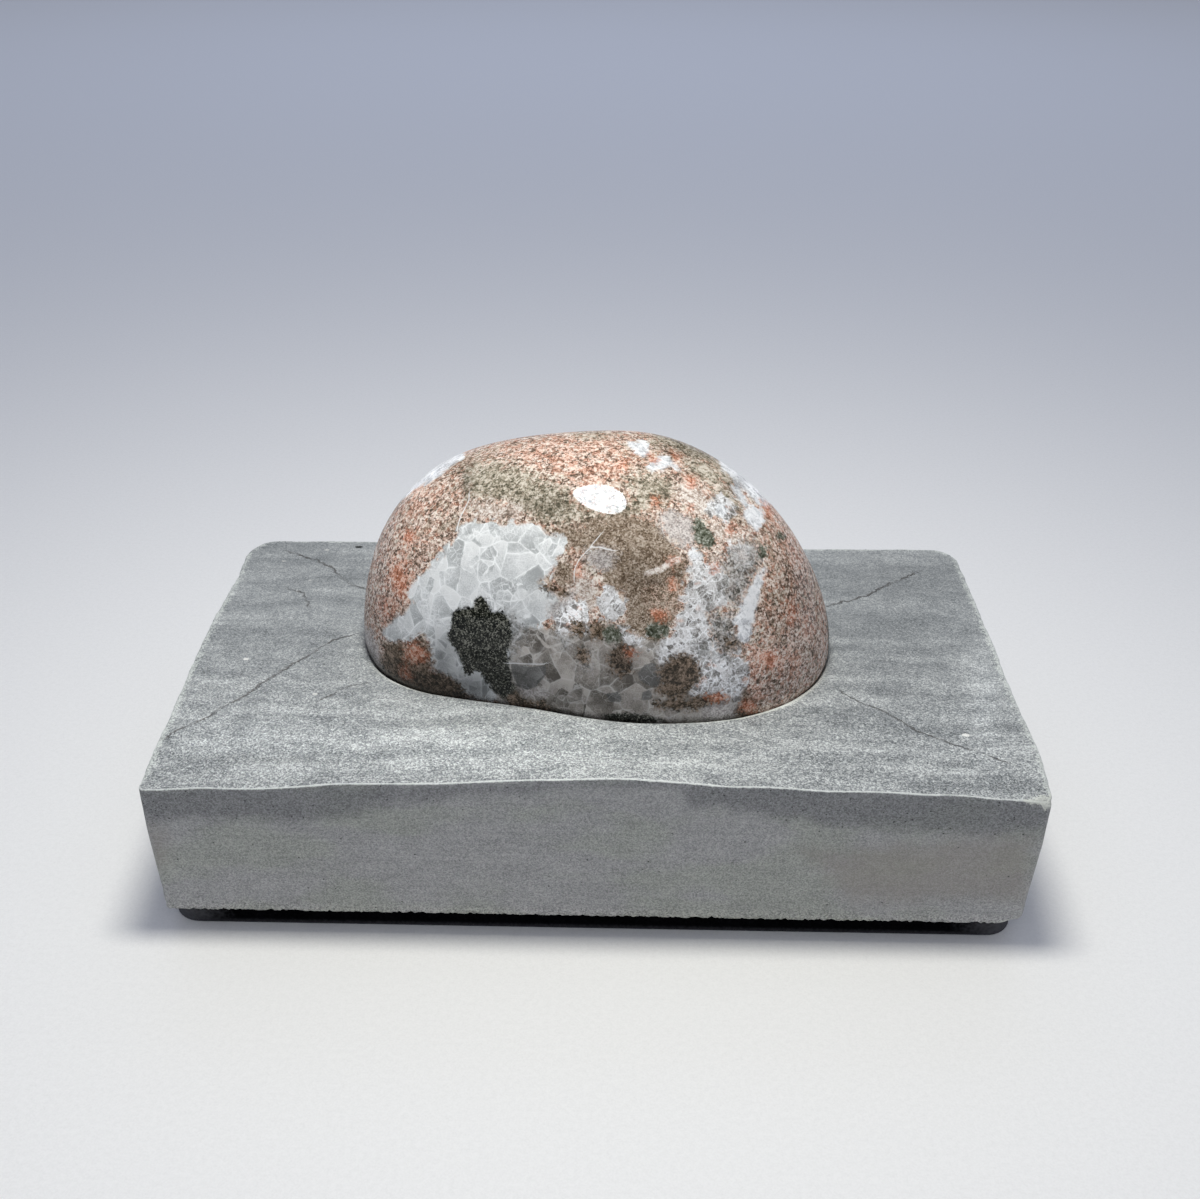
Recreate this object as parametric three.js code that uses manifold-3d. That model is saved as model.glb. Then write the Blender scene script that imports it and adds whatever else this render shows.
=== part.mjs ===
// A polished puddingstone cobble seated in a fitted hollow of a slate slab, which stands on a foam pad.
// Millimetres, +Z up, +X to the right, +Y to the back. The origin is the middle of the pad's underside.
import * as THREE from 'three';
import { mergeVertices } from 'three/addons/utils/BufferGeometryUtils.js';
import Module from 'manifold-3d';

const SEAT_GAP = 0.3; // between pieces that rest on each other
const WELD = 1e-4; // vertices closer than this are one

const PAD = {
  thickness: 6,
  frontInset: 2.4,
  sideInset: 3.3,
  cornerRadius: 4,
  arcSegments: 6,
  look: { color: 0x141416, roughness: 0.95 },
};

const SLAB = {
  length: 181.2,
  width: 102.6,
  height: 30.6,
  crown: { height: 3.9, peakX: 5.4, leftReach: 92, rightReach: 105, endY: 20 }, // swell of the front edge
  frontTaper: 0.036, // share of its length lost at the very front
  frontTaperPower: 5,
  backLeftRadius: 8,
  backRightRadius: 6,
  frontRadius: 2.5,
  arris: 0.8, // worn top edge
  waviness: { height: 0.3, lengthX: 19, lengthY: 14 }, // of the upper face
  ragged: { height: 0.5, length: 2.3 }, // broken bottom edge
  columns: 34,
  rows: 20,
  layers: 3,
  look: { color: 0x7c8285, roughness: 0.7 },
};

// Bits broken off the slab's corners: a block of this size, turned, cuts each one away.
const CHIPS = [
  { at: [88.4, -52, 31.1], size: [9, 6, 4], turn: [0.2, 0.25, 0.4] },
  { at: [89, -51.6, 0], size: [9, 6, 4], turn: [-0.2, -0.3, 0.3] },
];

const STONE = {
  centre: [-1.4, 7, 33.4], // above the slab's underside
  halfLength: 51,
  halfWidth: 34.5,
  crown: 45, // from the centre up
  belly: 15.5, // and down
  planPower: 2.4, // 2 would be an ellipse, more is squarer
  sidePower: 2.1,
  turn: -12.5, // degrees about Z: the right end is nearer the front
  flatSpot: 14.5, // the small flat it rests on, below the centre
  detail: 11,
  look: { color: 0x9a8478, roughness: 0.15 },
};

// Low swellings and flats on the cobble: compass direction and elevation in degrees, spread, height.
const SWELLINGS = [
  { name: 'back shoulder', azimuth: 55, elevation: 58, spread: 24, height: 2 },
  { name: 'flat of the crown', azimuth: 120, elevation: 62, spread: 26, height: -1.25 },
  { name: 'left shoulder', azimuth: 160, elevation: 30, spread: 26, height: 1.75 },
  { name: 'left heel', azimuth: 205, elevation: -6, spread: 20, height: 2.5 },
  { name: 'front left flat', azimuth: 240, elevation: -6, spread: 22, height: -1.25 },
  { name: 'front right flat', azimuth: 330, elevation: -6, spread: 20, height: -0.5 },
  { name: 'right heel', azimuth: 352, elevation: -4, spread: 20, height: 2.75 },
];

const wasm = await Module();
wasm.setup();
const { clamp, degToRad } = THREE.MathUtils;
const UP = new THREE.Vector3(0, 0, 1);

// A geometry with only its positions, each shared by the faces that meet there.
function welded(geometry) {
  geometry.deleteAttribute('normal');
  geometry.deleteAttribute('uv');
  return mergeVertices(geometry, WELD);
}

function toManifold(geometry) {
  const vertProperties = new Float32Array(geometry.attributes.position.array);
  const triVerts = new Uint32Array(geometry.index.array);
  return new wasm.Manifold(new wasm.Mesh({ numProp: 3, vertProperties, triVerts }));
}

function toGeometry(manifold) {
  const { vertProperties, triVerts } = manifold.getMesh();
  const geometry = new THREE.BufferGeometry();
  geometry.setAttribute('position', new THREE.BufferAttribute(vertProperties, 3));
  geometry.setIndex(new THREE.BufferAttribute(triVerts, 1));
  geometry.computeVertexNormals();
  return geometry;
}

// Moves every vertex of a geometry by a function that changes the point it is given.
function reshape(geometry, move) {
  const { position } = geometry.attributes;
  const point = new THREE.Vector3();
  for (let i = 0; i < position.count; i++) {
    move(point.fromBufferAttribute(position, i));
    position.setXYZ(i, point.x, point.y, point.z);
  }
  return geometry;
}

// The unit direction at an azimuth from +X towards +Y and an elevation, in degrees.
function towards(azimuth, elevation) {
  const level = Math.cos(degToRad(elevation));
  const turn = degToRad(azimuth);
  return new THREE.Vector3(level * Math.cos(turn), level * Math.sin(turn), Math.sin(degToRad(elevation)));
}

const swellings = SWELLINGS.map(({ azimuth, elevation, spread, height }) => ({
  direction: towards(azimuth, elevation),
  spread: degToRad(spread),
  height,
}));

// Turns a point on the unit sphere into one on the cobble, grown by a clearance, about the cobble's centre.
function toPebble(point, clearance) {
  const direction = point.clone().normalize();
  const turned = direction.clone().applyAxisAngle(UP, -degToRad(STONE.turn));
  const along = Math.abs(turned.x) / (STONE.halfLength + clearance);
  const across = Math.abs(turned.y) / (STONE.halfWidth + clearance);
  const upright = Math.abs(turned.z) / ((turned.z > 0 ? STONE.crown : STONE.belly) + clearance);
  const plan = (along ** STONE.planPower + across ** STONE.planPower) ** (STONE.sidePower / STONE.planPower);
  let reach = (plan + upright ** STONE.sidePower) ** (-1 / STONE.sidePower);
  for (const swelling of swellings) {
    reach += swelling.height * Math.exp(-((direction.angleTo(swelling.direction) / swelling.spread) ** 2));
  }
  point.copy(direction).multiplyScalar(reach);
  point.z = Math.max(point.z, -STONE.flatSpot - clearance);
}

function pebble(clearance) {
  const ball = welded(new THREE.IcosahedronGeometry(1, STONE.detail));
  return reshape(ball, (point) => toPebble(point, clearance));
}

// Height of the slab's upper face: level at the back, swelling along the front, gently uneven all over.
function slabTop(x, y) {
  const { crown, waviness, height, width } = SLAB;
  const reach = x < crown.peakX ? crown.leftReach : crown.rightReach;
  const swell = Math.cos(Math.PI / 2 * clamp((x - crown.peakX) / reach, -1, 1)) ** 2;
  const forward = clamp((crown.endY - y) / (crown.endY + width / 2), 0, 1);
  const wave = Math.sin(x / waviness.lengthX) * Math.cos(y / waviness.lengthY);
  return height + crown.height * swell * forward + waviness.height * wave;
}

// Spaces the grid lines evenly, but for a narrow last cell that holds the worn edge.
function gridPlace(t, half, cells) {
  const lastEven = 1 - 2 / cells;
  return Math.abs(t) > lastEven + WELD ? t * half : t / lastEven * (half - SLAB.arris);
}

function cornerRadius(x, y) {
  if (y < 0) return SLAB.frontRadius;
  return x < 0 ? SLAB.backLeftRadius : SLAB.backRightRadius;
}

// Draws the square corner of the grid in to a round one.
function roundCorner(point) {
  const radius = cornerRadius(point.x, point.y);
  const overX = Math.abs(point.x) - (SLAB.length / 2 - radius);
  const overY = Math.abs(point.y) - (SLAB.width / 2 - radius);
  if (overX <= 0 || overY <= 0) return;
  const pull = 1 - Math.max(overX, overY) / Math.hypot(overX, overY);
  point.x -= Math.sign(point.x) * overX * pull;
  point.y -= Math.sign(point.y) * overY * pull;
}

// Turns a point of the 2 by 2 by 1 grid into one on the slab.
function toSlab(point) {
  const { length, width, columns, rows, arris, ragged } = SLAB;
  const level = point.z;
  const onRim = Math.max(Math.abs(point.x), Math.abs(point.y)) > 1 - WELD;
  point.x = gridPlace(point.x, length / 2, columns);
  point.y = gridPlace(point.y, width / 2, rows);
  roundCorner(point);
  const toFront = (width / 2 - point.y) / width;
  point.x *= 1 - SLAB.frontTaper * toFront ** SLAB.frontTaperPower;
  const broken = ragged.height * Math.sin((point.x + point.y) / ragged.length) ** 2;
  const top = slabTop(point.x, point.y) - (onRim ? arris : 0);
  const bottom = onRim ? broken : 0;
  point.z = THREE.MathUtils.lerp(bottom, top, level);
}

function chip({ at, size, turn }) {
  const block = welded(new THREE.BoxGeometry(...size));
  block.applyMatrix4(new THREE.Matrix4().makeRotationFromEuler(new THREE.Euler(...turn)));
  return block.translate(...at);
}

function slateSlab() {
  const { columns, rows, layers } = SLAB;
  const grid = new THREE.BoxGeometry(2, 2, 1, columns, rows, layers).translate(0, 0, 0.5);
  let slab = toManifold(reshape(welded(grid), toSlab));
  slab = slab.subtract(toManifold(pebble(SEAT_GAP).translate(...STONE.centre)));
  for (const broken of CHIPS) slab = slab.subtract(toManifold(chip(broken)));
  return toGeometry(slab);
}

function foamPad() {
  const { thickness, frontInset, sideInset, cornerRadius: r, arcSegments } = PAD;
  const x = SLAB.length / 2 - sideInset;
  const y = SLAB.width / 2 - frontInset;
  const outline = new THREE.Shape();
  outline.absarc(x - r, y - r, r, 0, Math.PI / 2);
  outline.absarc(r - x, y - r, r, Math.PI / 2, Math.PI);
  outline.absarc(r - x, r - y, r, Math.PI, 1.5 * Math.PI);
  outline.absarc(x - r, r - y, r, 1.5 * Math.PI, 2 * Math.PI);
  return new THREE.ExtrudeGeometry(outline, {
    depth: thickness - SEAT_GAP, bevelEnabled: false, curveSegments: arcSegments,
  });
}

function piece(name, geometry, look) {
  const mesh = new THREE.Mesh(geometry, new THREE.MeshStandardMaterial({ ...look, metalness: 0 }));
  mesh.name = name;
  return mesh;
}

const stone = piece('puddingstone', pebble(0), STONE.look);
stone.position.set(...STONE.centre);

const onPad = new THREE.Group();
onPad.position.z = PAD.thickness;
onPad.add(stone, piece('slate_slab', slateSlab(), SLAB.look));

const specimen = new THREE.Group();
specimen.add(onPad, piece('foam_pad', foamPad(), PAD.look));

export default specimen;
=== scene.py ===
import math
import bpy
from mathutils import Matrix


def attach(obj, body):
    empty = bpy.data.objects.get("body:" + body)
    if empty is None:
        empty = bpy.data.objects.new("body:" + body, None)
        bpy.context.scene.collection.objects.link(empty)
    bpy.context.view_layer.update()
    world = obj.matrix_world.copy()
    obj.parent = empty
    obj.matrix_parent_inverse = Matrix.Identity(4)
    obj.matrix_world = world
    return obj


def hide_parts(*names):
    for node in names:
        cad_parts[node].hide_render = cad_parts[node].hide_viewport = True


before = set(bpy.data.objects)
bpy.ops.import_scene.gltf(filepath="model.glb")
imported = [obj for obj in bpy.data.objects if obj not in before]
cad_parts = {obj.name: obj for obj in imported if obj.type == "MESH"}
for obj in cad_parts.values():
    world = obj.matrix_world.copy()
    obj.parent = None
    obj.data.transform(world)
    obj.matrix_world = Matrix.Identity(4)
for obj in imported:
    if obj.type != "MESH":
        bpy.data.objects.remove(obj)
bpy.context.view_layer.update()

from types import SimpleNamespace

import bmesh
import bpy
import numpy as np
from mathutils import Matrix, Vector, noise

mm = 0.001  # the sizes below are millimetres

camera = {
    "place": (1.68, -255.67, 200.03),
    "down": 30.34,  # degrees below level
    "turn": 0.29,
    "lean": 0.82,
    "lens": 40.5,
    "sensor": 36.0,
    "frame": (1200, 1199),  # the pixels that the marks below are placed in
}
focal = camera["lens"] / camera["sensor"] * camera["frame"][0]  # in those pixels
unreached = 100.0  # the millimetres to a mark where none is meant to show
unmarked = -9.0  # the depth in a mark there

studio = {
    "keyLamp": {"place": (0, -30, 380), "size": (122, 64), "power": 0.95, "colour": (1.0, 0.98, 0.89)},
    "glintLamp": {"place": (-30, -6, 347), "size": (77, 130), "power": 0.86, "colour": (0.80, 0.92, 1.0)},
    "frontLamp": {"place": (0, -500, 500), "size": (500, 300), "power": 0.38, "colour": (1.0, 0.98, 0.94)},
    "farLamp": {"place": (0, 1100, 850), "size": (1600, 1200), "power": 2.2, "colour": (0.72, 0.87, 1.24)},
    "skyColour": (0.87, 0.92, 1.08),
    "skyStrength": 0.37,
    "floorSize": 6000,
    "floorColour": (0.85, 0.85, 0.85),
    "fibreShade": 0.93,  # of its fibres, as a factor
}

scene = bpy.context.scene
scene.view_settings.view_transform = "Standard"


def addObject(name, data):
    made = bpy.data.objects.new(name, data)
    scene.collection.objects.link(made)
    return made


# Shader sockets

class Wire:
    def __init__(self, tree, socket=None):
        self.tree = tree
        self.socket = socket

    def node(self, kind, settings=None, inputs=None, out=0):
        made = self.tree.nodes.new(kind)
        for name, value in (settings or {}).items():
            if name == "stops":
                setStops(made.color_ramp, value)
            else:
                setattr(made, name, value)
        for name, value in (inputs or {}).items():
            if isinstance(value, Wire):
                self.tree.links.new(value.socket, made.inputs[name])
            else:
                made.inputs[name].default_value = value
        return Wire(self.tree, made.outputs[out] if made.outputs else None)

    def calc(self, operation, first, second=0.0):
        return self.node("ShaderNodeMath", {"operation": operation}, {0: first, 1: second})

    def __add__(self, other):
        return self.calc("ADD", self, other)

    def __radd__(self, other):
        return self.calc("ADD", other, self)

    def __sub__(self, other):
        return self.calc("SUBTRACT", self, other)

    def __rsub__(self, other):
        return self.calc("SUBTRACT", other, self)

    def __mul__(self, other):
        return self.calc("MULTIPLY", self, other)

    def __rmul__(self, other):
        return self.calc("MULTIPLY", other, self)

    def __abs__(self):
        return self.calc("ABSOLUTE", self)

    def most(self, other):
        return self.calc("MAXIMUM", self, other)

    def least(self, other):
        return self.calc("MINIMUM", self, other)

    def step(self, low, high):
        return self.node("ShaderNodeMapRange", {"interpolation_type": "SMOOTHSTEP"},
                         {"Value": self, "From Min": low, "From Max": high})

    def ramp(self, stops):
        return self.node("ShaderNodeValToRGB", {"stops": stops}, {0: self})

    def mix(self, other, amount, blend="MIX"):
        return self.node("ShaderNodeMix", {"data_type": "RGBA", "blend_type": blend},
                         {0: amount, 6: self, 7: other}, out=2)

    def part(self, which):
        return self.node("ShaderNodeSeparateXYZ", None, {0: self}, out=which)

    # Another output of the same node
    def beside(self, out):
        return Wire(self.tree, self.socket.node.outputs[out])

    def vector(self, operation, other, out=0):
        slot = "Scale" if operation == "SCALE" else 1
        return self.node("ShaderNodeVectorMath", {"operation": operation}, {0: self, slot: other}, out)

    # Textures read a place in millimetres; size is that of one feature
    def clouds(self, size, detail=2.0, rough=0.5, out=0):
        return self.node("ShaderNodeTexNoise", None, {
            "Vector": self, "Scale": 1 / size, "Detail": detail, "Roughness": rough}, out)

    def cells(self, size, feature="F1", out="Color"):
        return self.node("ShaderNodeTexVoronoi", {"feature": feature}, {
            "Vector": self, "Scale": 1 / size}, out)

    def drift(self, size, amount):
        push = self.clouds(size, out="Color").vector("SUBTRACT", (0.5, 0.5, 0.5))
        return self.vector("ADD", push.vector("SCALE", 2 * amount))


def setStops(ramp, stops):
    while len(ramp.elements) < len(stops):
        ramp.elements.new(0.5)
    for element, (place, colour) in zip(ramp.elements, stops):
        element.position = place
        element.color = (*colour, 1.0)


def newMaterial(name):
    made = bpy.data.materials.new(name)
    made.use_nodes = True
    made.node_tree.nodes.clear()
    start = Wire(made.node_tree)
    place = start.node("ShaderNodeTexCoord", out="Object").vector("SCALE", 1 / mm)
    return made, start, place


def finishMaterial(start, inputs, bumpHeight, bumpDepth):
    relief = start.node("ShaderNodeBump", None, {
        "Strength": 1.0, "Distance": bumpDepth * mm, "Height": bumpHeight})
    shader = start.node("ShaderNodeBsdfPrincipled", None, {**inputs, "Normal": relief})
    start.node("ShaderNodeOutputMaterial", None, {"Surface": shader})


def reading(start, name):
    return start.node("ShaderNodeAttribute", {"attribute_name": name}, out="Fac")


# Camera, floor and light

def cameraMatrix():
    turn = Matrix.Rotation(math.radians(camera["turn"]), 4, "Z")
    tip = Matrix.Rotation(math.radians(90 - camera["down"]), 4, "X")
    lean = Matrix.Rotation(math.radians(camera["lean"]), 4, "Z")
    return Matrix.Translation(Vector(camera["place"]) * mm) @ turn @ tip @ lean


def addCamera():
    data = bpy.data.cameras.new("camera")
    data.lens = camera["lens"]
    data.sensor_width = camera["sensor"]
    data.clip_start = 0.005
    made = addObject("camera", data)
    made.matrix_world = cameraMatrix()
    scene.camera = made


def addLamp(name):
    values = studio[name]
    lamp = bpy.data.lights.new(name, "AREA")
    lamp.shape = "ELLIPSE"
    lamp.size, lamp.size_y = (side * mm for side in values["size"])
    lamp.energy = values["power"]
    lamp.color = values["colour"]
    made = addObject(name, lamp)
    made.location = Vector(values["place"]) * mm
    return made


def addStudio():
    world = bpy.data.worlds.new("paleSky")
    world.use_nodes = True
    back = world.node_tree.nodes["Background"]
    back.inputs["Color"].default_value = (*studio["skyColour"], 1)
    back.inputs["Strength"].default_value = studio["skyStrength"]
    world.cycles_visibility.glossy = False
    scene.world = world

    # one lamp is mirrored in the polish, the others light what is matt
    addLamp("glintLamp").visible_diffuse = False
    for name in ("keyLamp", "frontLamp", "farLamp"):
        addLamp(name).visible_glossy = False

    bm = bmesh.new()
    bmesh.ops.create_grid(bm, x_segments=1, y_segments=1, size=studio["floorSize"] * mm / 2)
    mesh = bpy.data.meshes.new("floor")
    bm.to_mesh(mesh)
    bm.free()
    made, start, place = newMaterial("floorPaper")
    fibres = place.clouds(1.1, 3.0, 0.7) * 0.55 + place.clouds(0.42, 1.0) * 0.45
    shade = tuple(part * studio["fibreShade"] for part in studio["floorColour"])
    colour = fibres.ramp([(0.3, shade), (0.6, studio["floorColour"])])
    finishMaterial(start, {"Base Color": colour, "Roughness": 0.85, "Specular IOR Level": 0.2},
                   fibres, 0.05)
    mesh.materials.append(made)
    addObject("floor", mesh)


addCamera()
addStudio()
print("camera, floor and light are set")


# Marks are placed by where they show from the camera

def pictureOf(places):
    inView = np.array(cameraMatrix().inverted())
    seen = places * mm @ inView[:3, :3].T + inView[:3, 3]
    px = camera["frame"][0] / 2 - focal * seen[:, 0] / seen[:, 2]
    py = camera["frame"][1] / 2 + focal * seen[:, 1] / seen[:, 2]
    return px, py, -seen[:, 2] / focal / mm  # and the millimetres in a pixel there


# Distance from a straight line's nearest point, and which side of the line each place is on
def awayFrom(px, py, x0, y0, x1, y1):
    dx, dy = x1 - x0, y1 - y0
    t = np.clip(((px - x0) * dx + (py - y0) * dy) / (dx * dx + dy * dy), 0, 1)
    side = np.where(dx * (py - y0) > dy * (px - x0), 1, -1)
    return np.hypot(px - x0 - t * dx, py - y0 - t * dy), side


# Depth of each place inside an outline; negative outside
def outlineDepth(px, py, outline):
    inside = np.zeros(len(px), bool)
    nearest = np.full(len(px), np.inf)
    for (x0, y0), (x1, y1) in zip(outline, outline[1:] + outline[:1]):
        nearest = np.minimum(nearest, awayFrom(px, py, x0, y0, x1, y1)[0])
        if y0 != y1:
            crosses = (y0 > py) != (y1 > py)
            inside ^= crosses & (px < x0 + (py - y0) / (y1 - y0) * (x1 - x0))
    return np.where(inside, nearest, -nearest)


def deepest(px, py, outlines):
    return np.max([outlineDepth(px, py, outline) for outline in outlines.values()], axis=0)


# Signed offset from the nearest line in units of its width, and the distance to it
def lineOffsets(px, py, lines):
    nearest = np.full(len(px), np.inf)
    signed = np.full(len(px), np.inf)
    for width, *path in lines.values():
        for begin, end in zip(path, path[1:]):
            away, side = awayFrom(px, py, *begin, *end)
            closer = away < nearest
            nearest = np.where(closer, away, nearest)
            signed = np.where(closer, side * away / width, signed)
    return signed, nearest


def shadeAt(px, py, shades):
    factor = np.ones(len(px))
    for x, y, reachX, reachY, amount in shades.values():
        factor *= amount ** np.exp(-((px - x) / reachX) ** 2 - ((py - y) / reachY) ** 2)
    return factor


def addLayer(mesh, name, values):
    layer = mesh.attributes.new(name, "FLOAT", "POINT")
    layer.data.foreach_set("value", np.asarray(values, np.float32))


def toObject(bm, name):
    bmesh.ops.scale(bm, vec=(mm, mm, mm), verts=bm.verts)
    bmesh.ops.triangulate(bm, faces=[f for f in bm.faces if len(f.verts) > 4])
    bmesh.ops.recalc_face_normals(bm, faces=bm.faces)
    mesh = bpy.data.meshes.new(name)
    bm.to_mesh(mesh)
    bm.free()
    return addObject(name, mesh)


def finishPiece(piece, material, node):
    piece.data.materials.append(material)
    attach(piece, "root")
    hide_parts(node)
    print(piece.name, "has", len(piece.data.polygons), "faces")


# The cobble: the same rounded form as the solid it stands for

cobble = {
    "centre": (-1.4, 7.0, 39.4),
    "halfLength": 51.0,
    "halfWidth": 34.5,
    "crown": 45.0,
    "belly": 15.5,
    "planPower": 2.4,
    "sidePower": 2.1,
    "turn": -12.5,  # degrees
    "flatSpot": 14.5,
    "subdivisions": 7,
    "unevenness": (0.035, 9.0),  # height and width of the polisher's soft ripples
    "hideRate": 14.0,  # how fast a mark gives out round the back
    "hideFrom": 0.05,  # how far round, as the cosine of its slope from the camera
    "farWander": (3.5, 11.0),  # reach and size of the bends in the patches on its far side
    "farSeed": 1795516091,  # vector noise differs from run to run without one
}

# azimuth and elevation in degrees, spread in degrees, height
swellings = {
    "back shoulder": (55, 58, 24, 2.0),
    "flat of the crown": (120, 62, 26, -1.25),
    "left shoulder": (160, 30, 26, 1.75),
    "left heel": (205, -6, 20, 2.5),
    "front left flat": (240, -6, 22, -1.25),
    "front right flat": (330, -6, 20, -0.5),
    "right heel": (352, -4, 20, 2.75),
}


def towards(azimuth, elevation):
    a, e = math.radians(azimuth), math.radians(elevation)
    return np.array((math.cos(e) * math.cos(a), math.cos(e) * math.sin(a), math.sin(e)))


# Distance from the cobble's centre to its surface along unit directions
def pebbleReach(directions, clearance=0.0):
    turn = math.radians(cobble["turn"])
    x, y, z = directions.T
    along = np.abs(x * math.cos(turn) + y * math.sin(turn)) / (cobble["halfLength"] + clearance)
    across = np.abs(y * math.cos(turn) - x * math.sin(turn)) / (cobble["halfWidth"] + clearance)
    upright = np.abs(z) / (np.where(z > 0, cobble["crown"], cobble["belly"]) + clearance)
    power, side = cobble["planPower"], cobble["sidePower"]
    reach = ((along ** power + across ** power) ** (side / power) + upright ** side) ** (-1 / side)
    for azimuth, elevation, spread, height in swellings.values():
        angle = np.arccos(np.clip(directions @ towards(azimuth, elevation), -1, 1))
        reach = reach + height * np.exp(-(angle / math.radians(spread)) ** 2)
    return reach


def pebblePoints(directions, clearance=0.0, flatDrop=0.0):
    points = directions * pebbleReach(directions, clearance)[:, None]
    points[:, 2] = np.maximum(points[:, 2], -cobble["flatSpot"] - flatDrop)
    return points + np.array(cobble["centre"])


def makeCobble():
    bm = bmesh.new()
    bmesh.ops.create_icosphere(bm, subdivisions=cobble["subdivisions"], radius=1)
    directions = np.array([v.co.normalized() for v in bm.verts])
    height, width = cobble["unevenness"]
    for v, place, outward in zip(bm.verts, pebblePoints(directions), directions):
        v.co = Vector(place) + Vector(outward) * height * noise.noise(Vector(place) / width)
    for face in bm.faces:
        face.smooth = True
    return toObject(bm, "puddingstone_cobble")


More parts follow.
